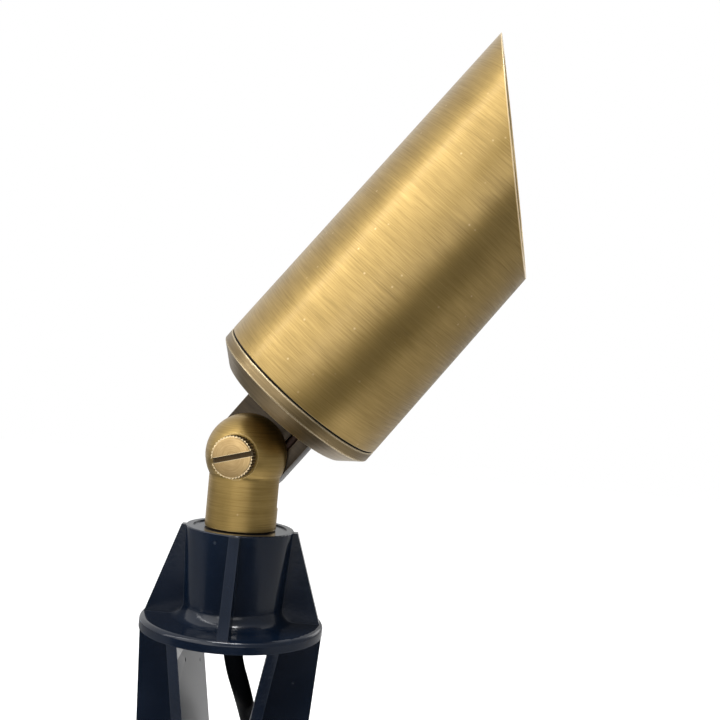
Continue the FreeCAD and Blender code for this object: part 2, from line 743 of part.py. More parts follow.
def build_lamp():
    """The two-pin reflector lamp: bowl and base, burner capsule, front glass and pins."""
    base = D.bracket_top_s + D.holder_height
    rim = base + D.lamp_length
    neck = base + D.lamp_base_length
    wall = D.lamp_wall
    bowl_height = D.lamp_length - D.lamp_base_length
    spread = D.lamp_rim_radius - D.lamp_neck_radius
    outer = [(D.lamp_neck_radius + spread * across, neck + bowl_height * along)
             for across, along in ((0.42, 0.26), (0.74, 0.57), (1.0, 1.0))]
    inner = [(radius - wall, height) for radius, height in outer]
    step = rim - wall * 1.5
    well = base + D.lamp_base_length / 3
    bowl = turned("lamp_turned", [
        (0, base), (D.lamp_neck_radius, base), (D.lamp_neck_radius, neck)] + outer + [
        (inner[2][0], rim), (inner[2][0], step), (inner[2][0] - wall, step),
        inner[1], inner[0], (D.lamp_neck_radius - wall, neck + wall), (D.capsule_radius + 1, neck + wall),
        (D.capsule_radius + 1, well), (0, well)])
    piece("lamp_reflector", bowl, HEAD_PLACE)
    piece("lamp_front_glass", cylinder_body("front_glass", inner[2][0], step, step + wall), HEAD_PLACE)
    capsule = turned("capsule_turned", [
        (0, well), (D.capsule_radius, well), (D.capsule_radius, well + D.capsule_length),
        (D.capsule_radius * 0.55, well + D.capsule_length + D.capsule_radius * 0.8),
        (0, well + D.capsule_length + D.capsule_radius)])
    piece("lamp_capsule", capsule, HEAD_PLACE)
    pins = [cylinder("lamp_pin_%d" % number, D.pin_radius, D.pin_length,
                     (0, side * D.pin_gap / 2, base - D.pin_length))
            for number, side in enumerate((-1, 1), start=1)]
    piece("lamp_pins", group("lamp_pin_group", pins), HEAD_PLACE)


def cylinder_body(name, radius, foot, head):
    """A plain turned disc between two heights."""
    return turned(name, [(0, foot), (radius, foot), (radius, head), (0, head)])


def cowl_radius(s):
    """The outside radius of the cowl at a distance along the lamp axis."""
    return D.body_radius - (s - D.seam_s) * tangent(D.cowl_taper)


def build_cowl():
    """The slant-cut cowl, with its lens, lens gasket and retaining ring."""
    start = D.seam_s + D.gasket_thick / 2 + D.run_clear
    socket_end = start + D.socket_length
    bore_start = D.lens_seat_s - D.lens_gasket_thick - D.lens_thick - D.lens_ring_thick - D.cowl_wall
    seat_end = D.lens_seat_s + D.lens_seat_thick
    end = D.cowl_tip_s + D.cowl_wall * 4
    socket_radius = spigot_radius() + D.run_clear
    bore_radius = cowl_radius(bore_start) - D.cowl_wall - D.lens_bore_land
    seat_radius = bore_radius - D.lens_seat_width
    cowl_turned = turned("cowl_turned", [
        (socket_radius, start), (cowl_radius(start) - D.edge_chamfer, start),
        (cowl_radius(start), start + D.edge_chamfer), (cowl_radius(end), end),
        (cowl_radius(end) - D.cowl_wall, end),
        (cowl_radius(seat_end) - D.cowl_wall, seat_end), (seat_radius, seat_end),
        (seat_radius, D.lens_seat_s), (bore_radius, D.lens_seat_s),
        (bore_radius, bore_start), (cowl_radius(bore_start) - D.cowl_wall, bore_start - D.edge_chamfer),
        (cowl_radius(socket_end) - D.cowl_wall - D.edge_chamfer, socket_end), (socket_radius, socket_end)])
    slope = tangent(90 - D.cowl_cut)
    tip_x = -cowl_radius(D.cowl_tip_s)
    reach = D.body_radius * 1.5
    far = D.cowl_tip_s * 1.5
    mouth = slab("cowl_mouth", [
        (-reach, D.cowl_tip_s - (-reach - tip_x) * slope), (reach, D.cowl_tip_s - (reach - tip_x) * slope),
        (reach, far), (-reach, far)], (-reach, reach))
    piece("cowl", cut("cowl_cut_off", cowl_turned, [mouth]), HEAD_PLACE)

    gasket_foot = D.lens_seat_s - D.lens_gasket_thick
    lens_foot = gasket_foot - D.lens_thick
    ring_foot = lens_foot - D.lens_ring_thick
    gasket = turned("lens_gasket_turned", [
        (seat_radius, gasket_foot), (bore_radius, gasket_foot),
        (bore_radius, D.lens_seat_s), (seat_radius, D.lens_seat_s)])
    piece("lens_gasket", gasket, HEAD_PLACE)
    piece("lens", cylinder_body("lens_disc", bore_radius, lens_foot, gasket_foot), HEAD_PLACE)
    ring = turned("lens_ring_turned", [
        (bore_radius - D.lens_ring_width, ring_foot), (bore_radius, ring_foot),
        (bore_radius, lens_foot), (bore_radius - D.lens_ring_width, lens_foot)])
    piece("lens_ring", ring, HEAD_PLACE)


# ------------------------------------------------------------------------------------------------
# Leads: tubes of straight runs joined by tangent arcs
# ------------------------------------------------------------------------------------------------

def route_edges(points, reach=None):
    """Straight runs joined by tangent arcs through a list of points, and the radii of the arcs."""
    edges = []
    radii = []
    here = points[0]
    for index in range(1, len(points) - 1):
        before, corner, after = points[index - 1], points[index], points[index + 1]
        run_in = (corner - before).Length
        run_out = (after - corner).Length
        into = (before - corner).normalize()
        away = (after - corner).normalize()
        length = 0.45 * min(run_in, run_out) if reach is None else reach
        half_turn = (math.pi - into.getAngle(away)) / 2
        radius = length / math.tan(half_turn)
        start = corner + into * length
        finish = corner + away * length
        bisector = (into + away).normalize()
        middle = corner + bisector * (radius / math.cos(half_turn) - radius)
        edges.append(Part.LineSegment(here, start).toShape())
        edges.append(Part.Arc(start, middle, finish).toShape())
        radii.append(radius)
        here = finish
    edges.append(Part.LineSegment(here, points[-1]).toShape())
    return edges, radii


def tube(name, edges, radius):
    """One solid tube of a radius along a chain of tangent edges."""
    wire = Part.Wire(edges)
    start = edges[0].valueAt(edges[0].FirstParameter)
    heading = edges[0].tangentAt(edges[0].FirstParameter)
    section = Part.Wire([Part.Circle(start, heading, radius).toShape()])
    shape = wire.makePipeShell([section], True, False)
    expected = math.pi * radius ** 2 * wire.Length
    print("%s: length %.1f mm, volume %.4f of section times length"
          % (name, wire.Length, shape.Volume / expected))
    if abs(shape.Volume / expected - 1) > 0.01:
        raise RuntimeError(name + " does not have the volume of its section times its length")
    obj = doc.addObject("Part::Feature", name + "_tube")
    obj.Shape = shape
    return obj


def build_cores():
    """The two insulated cores: in the tongue and cap, and in the post above the end of the sheath."""
    radius = D.core_radius.value
    bend = 4.0
    top = D.bracket_top_s + D.holder_height - D.pin_length
    end_x = D.core_slot_x + D.core_radius
    clear_radius = D.tongue_half_width
    foot = -root(clear_radius * clear_radius - end_x * end_x)
    upper = []
    lower = []
    for side in (-1, 1):
        y = core_y(side)
        bend_top = D.core_bend_s + D.core_bend_run
        points = [vector(D.core_slot_x, y, foot), vector(D.core_slot_x, y, D.core_bend_s),
                  vector(0, side * D.pin_gap / 2, bend_top), vector(0, side * D.pin_gap / 2, top)]
        edges, radii = route_edges(points, bend)
        print("head core radii", [round(value, 2) for value in radii])
        upper.append(tube("head_core_%d" % (side + 2), edges, radius))

        low_y = side * D.core_pair_gap / 2
        floor_z = D.pivot_z - D.lap_floor_drop
        end_z = D.pivot_z - D.tongue_half_width - D.free_clear
        points = [vector(0, low_y, D.lead_top_z), vector(0, low_y, D.lead_top_z + 3),
                  vector(0, y, floor_z - 1), vector(0, y, end_z)]
        edges, radii = route_edges(points, 2.6)
        print("post core radii", [round(value, 2) for value in radii])
        lower.append(tube("post_core_%d" % (side + 2), edges, radius))
    piece("head_cores", group("head_core_group", upper), HEAD_PLACE)
    piece("post_cores", group("post_core_group", lower), KNUCKLE_PLACE)


def build_lead_entry():
    """The lead's sheath inside the post, and the tapered rubber grommet in the hub below it."""
    split = D.lead_split_z
    sheath = cylinder_body("sheath", D.lead_radius, split + D.free_clear, D.lead_top_z)
    piece("lead_in_post", sheath, KNUCKLE_PLACE)
    top = D.hub_thread_foot_z
    foot = D.grommet_foot_z
    shoulder = top - D.lead_radius * 1.5
    grommet = turned("grommet_turned", [
        (D.lead_radius, foot), (D.grommet_foot_radius, foot),
        (D.grommet_foot_radius * 1.45, shoulder - D.lead_radius / 2), (D.hub_cavity_radius, shoulder),
        (D.hub_cavity_radius, top), (D.lead_radius + D.run_clear, top),
        (D.lead_radius + D.run_clear, split), (D.lead_radius, split)])
    piece("lead_grommet", grommet)


def biarc(first, heading, last, final_heading):
    """Two arcs that leave one point along a heading and reach another along a second heading."""
    span = last - first
    total = heading + final_heading
    spread = 2 * (1 - heading.dot(final_heading))
    along = span.dot(total)
    length = (-along + math.sqrt(along ** 2 + spread * span.dot(span))) / spread
    joint = (first + heading * length + last - final_heading * length) * 0.5
    arcs = []
    for start, direction, finish in ((first, heading, joint), (last, -final_heading, joint)):
        chord = finish - start
        normal = (chord - direction * chord.dot(direction))
        middle_side = normal.normalize()
        radius = chord.dot(chord) / (2 * chord.dot(middle_side))
        centre = start + middle_side * radius
        middle = centre + ((start - centre) + (finish - centre)).normalize() * radius
        points = (start, middle, finish) if finish is joint and start is first else (finish, middle, start)
        arcs.append((Part.Arc(*points).toShape(), radius))
    return arcs


def hank_nodes():
    """Points and headings round the hank: loops with a drawn-in waist, each turn a step behind the last."""
    end_radius = D.hank_end_radius.value
    reach = D.hank_reach.value
    half = D.hank_waist_half.value
    waist_radius = (reach ** 2 + half ** 2 - end_radius ** 2) / (2 * (end_radius - half))
    waist_x = half + waist_radius
    swing = math.atan2(reach, waist_x)
    around = math.pi + 2 * swing
    turn_length = 2 * end_radius * around + 4 * waist_radius * swing
    climb = D.hank_step.value / turn_length
    nodes = []

    def add(x, z, dx, dz, travelled):
        heading = FreeCAD.Vector(dx, climb, dz).normalize()
        place_of = FreeCAD.Vector(x, D.hank_front_y.value + climb * travelled, D.hank_middle_z.value + z)
        nodes.append((place_of, heading))

    travelled = 0.0
    for _turn in range(int(SIZES["hank_turns"])):
        for sign in (1, -1):
            add(sign * half, 0, 0, -sign, travelled)
            travelled += waist_radius * swing
            for third in range(4):
                angle = -swing + around * third / 3
                add(sign * end_radius * math.cos(angle), sign * (-reach - end_radius * math.sin(angle)),
                    -sign * math.sin(angle), -sign * math.cos(angle), travelled)
                travelled += end_radius * around / 3 if third < 3 else 0
            travelled += waist_radius * swing
    add(half, 0, 0, -1, travelled)
    return nodes, turn_length


def build_lead():
    """The supply lead: out of the hub, through the window between the legs, and wound into a hank."""
    radius = D.lead_radius.value
    nodes, turn_length = hank_nodes()
    first, heading = nodes[0]
    lead_points = [vector(*point) for point in (
        (0, 0, D.lead_split_z), (0, 0, -0.8), (1.7, 4.1, -13.4), (4.5, 13.5, -25.2),
        (5.1, 33.1, -37.1), (9.8, 43.0, -55.8), (10.6, 42.5, -86.0))]
    lead_points.append(first - heading * 20)
    lead_points.append(first)
    edges, radii = route_edges(lead_points)
    print("lead radii", [round(value, 1) for value in radii])
    hank_edges = []
    for (start, leaving), (finish, arriving) in zip(nodes, nodes[1:]):
        for arc, arc_radius in biarc(start, leaving, finish, arriving):
            hank_edges.append(arc)
    last, last_heading = nodes[-1]
    tail_points = [last, last + last_heading * 16 + vector(0, 1.2, 0), vector(7.0, 71.5, -178.0),
                   vector(2.0, 72.5, -198.0), vector(-1.0, 72.0, -214.0)]
    tail_edges, tail_radii = route_edges(tail_points)
    print("tail radii", [round(value, 1) for value in tail_radii])
    points = [edge.valueAt(edge.FirstParameter + (edge.LastParameter - edge.FirstParameter) * step / 8)
              for edge in edges + hank_edges + tail_edges for step in range(8)]
    lengths = [0.0]
    for one, two in zip(points, points[1:]):
        lengths.append(lengths[-1] + (two - one).Length)
    least = min((points[i] - points[j]).Length for i in range(len(points)) for j in range(i)
                if lengths[i] - lengths[j] > 40)
    print("hank: turn %.1f mm, least gap to itself %.2f mm" % (turn_length, least - 2 * radius))
    piece("supply_lead", tube("supply_lead", edges, radius))
    piece("lead_hank", tube("lead_hank", hank_edges + tail_edges, radius))
    return first, tail_points[-1], (tail_points[-1] - tail_points[-2]).normalize()


def build_lead_fittings(waist, tail, tail_heading):
    """The tie round the hank's waist, and the bared cores at the lead's far end."""
    half_x = D.hank_waist_half.value + D.lead_radius.value + 2 * D.free_clear.value
    low_y = D.hank_front_y.value - D.lead_radius.value - 3 * D.free_clear.value
    high_y = (D.hank_front_y.value + D.hank_step.value * SIZES["hank_turns"] + D.lead_radius.value
              + 5 * D.free_clear.value)
    print("tie inside", half_x, low_y, high_y)
    thick = D.tie_thick.value
    half_z = D.tie_width.value / 2
    outer = Part.makeBox(2 * (half_x + thick), high_y - low_y + 2 * thick, 2 * half_z,
                         vector(-half_x - thick, low_y - thick, D.hank_middle_z - half_z))
    upright = [edge for edge in outer.Edges if abs(edge.tangentAt(edge.FirstParameter).z) > 0.9]
    outer = outer.makeFillet(D.lead_radius.value, upright)
    inner = Part.makeBox(2 * half_x, high_y - low_y, 4 * half_z,
                         vector(-half_x, low_y, D.hank_middle_z - 2 * half_z))
    upright = [edge for edge in inner.Edges if abs(edge.tangentAt(edge.FirstParameter).z) > 0.9]
    inner = inner.makeFillet(D.lead_radius.value - thick, upright)
    tie = doc.addObject("Part::Feature", "tie_band")
    tie.Shape = outer.cut(inner)
    piece("hank_tie", tie)

    side = tail_heading.cross(vector(0, 1, 0)).normalize()
    cores = []
    strands = []
    for number, sign in enumerate((-1, 1), start=1):
        start = tail + side * (sign * D.core_pair_gap.value / 2)
        knee = start + tail_heading * 8 + side * (sign * 0.2)
        finish = knee + tail_heading * 12 + side * (sign * 3)
        edges, radii = route_edges([start, knee, finish], 5)
        cores.append(tube("tail_core_%d" % number, edges, D.core_radius.value))
        heading = (finish - knee).normalize()
        strand = doc.addObject("Part::Feature", "strand_%d" % number)
        strand.Shape = Part.makeCylinder(D.strand_radius.value, 7, finish, heading)
        strands.append(strand)
    piece("tail_cores", group("tail_core_group", cores))
    piece("bared_strands", group("strand_group", strands))


# ------------------------------------------------------------------------------------------------
# Build, check and write the sub-parts
# ------------------------------------------------------------------------------------------------

def check_objects():
    """Stop when any object failed to recompute or has no valid shape."""
    for obj in doc.Objects:
        if "Invalid" in obj.State or "Error" in obj.State:
            raise RuntimeError("%s did not recompute: %s" % (obj.Name, obj.State))
    for name, obj in PIECES:
        if obj.Shape.isNull() or not obj.Shape.isValid():
            raise RuntimeError(name + " has no valid shape")


build_spike()
build_post()
build_thumbscrew()
build_tongue()
build_cap()
build_holder()
build_lamp()
build_cowl()
build_cores()
build_lead_entry()
build_lead_fittings(*build_lead())
doc.recompute()
check_objects()

os.makedirs("parts", exist_ok=True)
for name, obj in PIECES:
    obj.Shape.exportStep(os.path.join("parts", name + ".step"))
    box = obj.Shape.BoundBox
    print("%-18s solids %d volume %10.1f  x %.1f %.1f  y %.1f %.1f  z %.1f %.1f"
          % (name, len(obj.Shape.Solids), obj.Shape.Volume,
             box.XMin, box.XMax, box.YMin, box.YMax, box.ZMin, box.ZMax))
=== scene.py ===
"""Garden spike spotlight: a turned brass lamp head on a half-lap knuckle above a moulded ground spike.

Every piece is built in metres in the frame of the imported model: +Z up along the spike, with the origin
on the spike's axis at the underside of its flange.  Sizes are written in millimetres, unless their
comment says otherwise.  The knuckle, the thumbscrew and the lamp head are drawn upright in their own
frames and then stood up by STANCE.
"""

from __future__ import annotations

import json
import logging
import math
from dataclasses import dataclass
from enum import Enum
from typing import Iterable, Sequence

import bmesh
import bpy
from mathutils import Matrix, Vector

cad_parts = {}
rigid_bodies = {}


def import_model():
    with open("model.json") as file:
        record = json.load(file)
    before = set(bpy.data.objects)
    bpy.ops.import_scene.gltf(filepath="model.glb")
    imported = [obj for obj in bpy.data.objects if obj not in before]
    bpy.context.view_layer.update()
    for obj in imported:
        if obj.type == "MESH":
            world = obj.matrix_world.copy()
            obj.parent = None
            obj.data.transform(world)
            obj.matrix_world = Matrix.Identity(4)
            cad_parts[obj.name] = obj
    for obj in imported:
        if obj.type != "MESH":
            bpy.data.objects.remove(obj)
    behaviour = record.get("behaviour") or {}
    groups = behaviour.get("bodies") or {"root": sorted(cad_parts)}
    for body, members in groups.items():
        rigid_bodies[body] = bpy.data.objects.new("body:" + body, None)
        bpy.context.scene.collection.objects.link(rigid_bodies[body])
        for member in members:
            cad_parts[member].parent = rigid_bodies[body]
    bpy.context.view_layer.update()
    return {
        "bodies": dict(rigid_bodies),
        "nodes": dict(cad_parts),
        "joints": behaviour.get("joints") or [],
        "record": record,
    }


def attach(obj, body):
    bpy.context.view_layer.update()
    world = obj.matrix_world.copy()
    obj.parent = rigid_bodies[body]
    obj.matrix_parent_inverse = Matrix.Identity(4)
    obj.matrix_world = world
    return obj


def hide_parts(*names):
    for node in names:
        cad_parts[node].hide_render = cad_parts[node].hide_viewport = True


LOG = logging.getLogger("spike_light")
MM = 0.001
# Attribute of painted shade on the thumbscrew's slot and knurled side, with dark oxide in the slot.
SHADE_AND_PATINA = "shade_and_patina"
# Attribute of the painted highlight line on the cowl's lip.
LIP_HIGHLIGHT = "lip_highlight"

Point = tuple[float, float]
Place = tuple[float, float, float]
Colour = tuple[float, float, float]


class Body(Enum):
    """The rigid bodies that the pieces ride on."""

    STAKE = "stake"
    KNUCKLE = "knuckle"
    THUMBSCREW = "thumbscrew"
    HEAD = "head"
    COWL = "cowl"


# ------------------------------------------------------------------------------------------------
# Where the knuckle and the lamp head stand
# ------------------------------------------------------------------------------------------------

@dataclass(frozen=True)
class Stance:
    """How the light is set: the knuckle's turn and the lamp axis's elevation, in degrees."""

    swivel: float = -12.4
    elevation: float = 52.7
    pivot_z: float = 61.4

    def knuckle(self) -> Matrix:
        """The knuckle's turn about the spike's axis."""
        return Matrix.Rotation(math.radians(self.swivel), 4, "Z")

    def head(self) -> Matrix:
        """From the head's own frame, axis along +Z from the pivot and underside towards +X, to the row."""
        lean = Matrix.Rotation(math.radians(90 - self.elevation), 4, "Y")
        return self.knuckle() @ Matrix.Translation((0, 0, self.pivot_z * MM)) @ lean

    def screw(self, face_y: float) -> Matrix:
        """From the thumbscrew's own frame, its face at Z 0 looking along +Z, to the row.

        Args:
            face_y: The face's place along the tilt axis from the pivot, in millimetres.
        Returns:
            The placement matrix.
        """
        outward = Matrix.Rotation(math.radians(90), 4, "X")
        return self.knuckle() @ Matrix.Translation((0, face_y * MM, self.pivot_z * MM)) @ outward


STANCE = Stance()


# ------------------------------------------------------------------------------------------------
# Shader building
# ------------------------------------------------------------------------------------------------

class ShaderGraph:
    """A short way to write a node tree."""

    def __init__(self, tree: bpy.types.NodeTree) -> None:
        """Start on an empty tree."""
        self.tree = tree
        tree.nodes.clear()

    def node(self, kind: str, inputs: dict[str | int, object] | None = None,
             **settings: object) -> bpy.types.Node:
        """Add a node.

        Args:
            kind: The node's type name.
            inputs: Values or sockets by input name or index.
            settings: Attributes of the node.
        Returns:
            The new node.
        """
        made = self.tree.nodes.new(kind)
        for key, value in settings.items():
            setattr(made, key, value)
        for key, value in (inputs or {}).items():
            if isinstance(value, bpy.types.NodeSocket):
                self.tree.links.new(value, made.inputs[key])
            else:
                made.inputs[key].default_value = value
        return made

    def math(self, operation: str, *values: object, clamp: bool = False) -> bpy.types.NodeSocket:
        """A math node's output for sockets or numbers."""
        made = self.node("ShaderNodeMath", dict(enumerate(values)), operation=operation, use_clamp=clamp)
        return made.outputs[0]

    def vector(self, operation: str, *values: object) -> bpy.types.Node:
        """A vector math node for sockets or triples."""
        return self.node("ShaderNodeVectorMath", dict(enumerate(values)), operation=operation)

    def noise(self, vector: object, scale: float, detail: float, rough: float = 0.55) -> bpy.types.NodeSocket:
        """A noise value from a vector."""
        made = self.node("ShaderNodeTexNoise", {"Vector": vector, "Scale": scale, "Detail": detail,
                                                "Roughness": rough})
        return made.outputs["Fac"]

    def scaled(self, vector: bpy.types.NodeSocket, factor: object) -> bpy.types.NodeSocket:
        """A vector made longer by a socket or a number."""
        made = self.vector("SCALE", vector)
        if isinstance(factor, bpy.types.NodeSocket):
            self.tree.links.new(factor, made.inputs["Scale"])
        else:
            made.inputs["Scale"].default_value = factor
        return made.outputs[0]

    def ramp(self, value: bpy.types.NodeSocket, low: float, high: float) -> bpy.types.NodeSocket:
        """A value stretched so that low gives 0 and high gives 1."""
        given = {"Value": value, "From Min": low, "From Max": high}
        return self.node("ShaderNodeMapRange", given, clamp=True).outputs["Result"]

    def mix(self, factor: object, first: object, second: object) -> bpy.types.NodeSocket:
        """A blend of two colours."""
        made = self.node("ShaderNodeMix", data_type="RGBA")
        for index, value in ((0, factor), (6, first), (7, second)):
            if isinstance(value, bpy.types.NodeSocket):
                self.tree.links.new(value, made.inputs[index])
            elif index == 0:
                made.inputs[index].default_value = value
            else:
                made.inputs[index].default_value = (*value[:3], 1.0)
        return made.outputs[2]

    def group(self, effect: bpy.types.NodeTree, inputs: dict[str, object]) -> bpy.types.Node:
        """Place a shared effect."""
        made = self.tree.nodes.new("ShaderNodeGroup")
        made.node_tree = effect
        for key, value in inputs.items():
            if isinstance(value, bpy.types.NodeSocket):
                self.tree.links.new(value, made.inputs[key])
            else:
                made.inputs[key].default_value = value
        return made


def new_effect(name: str, inputs: Sequence[tuple[str, str]], outputs: Sequence[str]) -> tuple[
        bpy.types.NodeTree, ShaderGraph, bpy.types.Node, bpy.types.Node]:
    """Make an empty shared effect.

    Args:
        name: The group's name.
        inputs: Pairs of socket name and socket kind, Float or Vector.
        outputs: Names of the value outputs.
    Returns:
        The tree, a graph writer on it, its input node and its output node.
    """
    tree = bpy.data.node_groups.new(name, "ShaderNodeTree")
    for socket, kind in inputs:
        tree.interface.new_socket(socket, in_out="INPUT", socket_type="NodeSocket" + kind)
    for socket in outputs:
        tree.interface.new_socket(socket, in_out="OUTPUT", socket_type="NodeSocketFloat")
    graph = ShaderGraph(tree)
    return tree, graph, tree.nodes.new("NodeGroupInput"), tree.nodes.new("NodeGroupOutput")


class Effects:
    """The effects that several finishes share, each built once."""

    def __init__(self) -> None:
        """Build every effect."""
        self.brushing = self._brushing()
        self.rings = self._rings()
        self.mottle = self._mottle()
        self.specks = self._specks()
        self.worn_edge = self._worn_edge()

    @staticmethod
    def _brushing() -> bpy.types.NodeTree:
        """Fine marks that run round the Z axis of the given vector."""
        tree, g, given, result = new_effect(
            "brushing", [("Vector", "Vector"), ("Pitch", "Float"), ("Length", "Float")],
            ["Streak", "Height", "Patch"])

        def stretched(factor: float) -> bpy.types.NodeSocket:
            """The vector drawn out along the marks, at a share of the pitch."""
            pitch = g.math("MULTIPLY", given.outputs["Pitch"], factor)
            across = g.math("DIVIDE", 1.0, given.outputs["Length"])
            scale = g.node("ShaderNodeCombineXYZ", {0: across, 1: across, 2: pitch}).outputs[0]
            return g.vector("MULTIPLY", given.outputs["Vector"], scale).outputs[0]

        fine = g.noise(stretched(1.0), 1.0, 5.0, 0.7)
        broad = g.noise(stretched(0.4), 1.0, 3.0, 0.6)
        both = g.math("ADD", g.math("MULTIPLY", fine, 0.75), g.math("MULTIPLY", broad, 0.25))
        tree.links.new(g.ramp(both, 0.36, 0.64), result.inputs["Streak"])
        patch = g.noise(stretched(0.06), 0.6, 3.0, 0.6)
        tree.links.new(g.ramp(patch, 0.34, 0.66), result.inputs["Patch"])
        tree.links.new(fine, result.inputs["Height"])
        return tree

    @staticmethod
    def _rings() -> bpy.types.NodeTree:
        """Turning marks in rings about the Z axis of the given vector, as on a faced end."""
        tree, g, given, result = new_effect(
            "turning_rings", [("Vector", "Vector"), ("Pitch", "Float"), ("Length", "Float")],
            ["Streak", "Height", "Patch"])
        flat = g.vector("MULTIPLY", given.outputs["Vector"], (1.0, 1.0, 0.0)).outputs[0]
        radius = g.vector("LENGTH", flat).outputs["Value"]
        pitch = g.math("MULTIPLY", radius, given.outputs["Pitch"])
        drift = g.scaled(flat, g.math("DIVIDE", 1.0, given.outputs["Length"]))
        parts = g.node("ShaderNodeSeparateXYZ", {0: drift}).outputs
        place = g.node("ShaderNodeCombineXYZ", {0: parts[0], 1: parts[1], 2: pitch}).outputs[0]
        value = g.noise(place, 1.0, 4.0, 0.65)
        patch = g.noise(g.scaled(flat, 260.0), 1.0, 2.0, 0.5)
        tree.links.new(g.ramp(patch, 0.3, 0.7), result.inputs["Patch"])
        tree.links.new(g.ramp(value, 0.32, 0.68), result.inputs["Streak"])
        tree.links.new(value, result.inputs["Height"])
        return tree

    @staticmethod
    def _mottle() -> bpy.types.NodeTree:
        """Slow cloudy variation."""
        tree, g, given, result = new_effect("mottle", [("Vector", "Vector"), ("Scale", "Float")], ["Cloud"])
        place = g.scaled(given.outputs["Vector"], given.outputs["Scale"])
        tree.links.new(g.ramp(g.noise(place, 1.0, 2.0, 0.5), 0.3, 0.7), result.inputs["Cloud"])
        return tree

    @staticmethod
    def _specks() -> bpy.types.NodeTree:
        """Small scattered dots: Amount is the share of cells that hold one."""
        tree, g, given, result = new_effect(
            "specks", [("Vector", "Vector"), ("Scale", "Float"), ("Amount", "Float")], ["Dot"])
        place = g.scaled(given.outputs["Vector"], given.outputs["Scale"])
        cell = g.node("ShaderNodeTexVoronoi", {"Vector": place, "Scale": 1.0})
        near = g.math("SUBTRACT", 1.0, g.ramp(cell.outputs["Distance"], 0.05, 0.2))
        pick = g.node("ShaderNodeSeparateColor", {0: cell.outputs["Color"]}).outputs[0]
        chosen = g.math("LESS_THAN", pick, given.outputs["Amount"])
        tree.links.new(g.math("MULTIPLY", near, chosen), result.inputs["Dot"])
        return tree

    @staticmethod
    def _worn_edge() -> bpy.types.NodeTree:
        """A mask along outside and inside corners, as wide as Radius."""
        tree, g, given, result = new_effect("worn_edge", [("Radius", "Float"), ("Break", "Float")], ["Edge"])
        soft = g.node("ShaderNodeBevel", samples=4)
        tree.links.new(given.outputs["Radius"], soft.inputs["Radius"])
        true = g.node("ShaderNodeNewGeometry").outputs["Normal"]
        turn = g.math("SUBTRACT", 1.0, g.vector("DOT_PRODUCT", soft.outputs[0], true).outputs["Value"])
        place = g.node("ShaderNodeTexCoord").outputs["Object"]
        rub = g.math("MULTIPLY", g.noise(place, 420.0, 2.0, 0.6), given.outputs["Break"])
        broken = g.math("SUBTRACT", turn, g.math("MULTIPLY", rub, 0.03))
        tree.links.new(g.ramp(broken, 0.006, 0.05), result.inputs["Edge"])
        return tree


EFFECTS: Effects | None = None


def effects() -> Effects:
    """The shared effects, built at the first call."""
    global EFFECTS
    if EFFECTS is None:
        EFFECTS = Effects()
    return EFFECTS


def own_coordinates(g: ShaderGraph, place: Matrix) -> bpy.types.NodeSocket:
    """Object coordinates turned into the frame of a piece that stands at a placement.

    Args:
        g: The graph to write into.
        place: The piece's placement in the row.
    Returns:
        The vector socket.
    """
    inverse = place.inverted()
    coords = g.node("ShaderNodeTexCoord").outputs["Object"]
    mapping = g.node("ShaderNodeMapping", {"Vector": coords}, vector_type="POINT")
    mapping.inputs["Location"].default_value = inverse.to_translation()
    mapping.inputs["Rotation"].default_value = inverse.to_euler("XYZ")
    return mapping.outputs[0]


def start_material(name: str) -> tuple[bpy.types.Material, ShaderGraph, bpy.types.Node]:
    """A material with a Principled shader on its output.

    Args:
        name: The material's name.
    Returns:
        The material, its graph writer and its Principled node.
    """
    material = bpy.data.materials.new(name)
    material.use_nodes = True
    g = ShaderGraph(material.node_tree)
    surface = g.node("ShaderNodeBsdfPrincipled")
    out = g.node("ShaderNodeOutputMaterial")
    g.tree.links.new(surface.outputs[0], out.inputs["Surface"])
    return material, g, surface


class Grain(Enum):
    """Which way a metal's turning marks run."""

    ROUND = "brushing"
    RINGS = "rings"


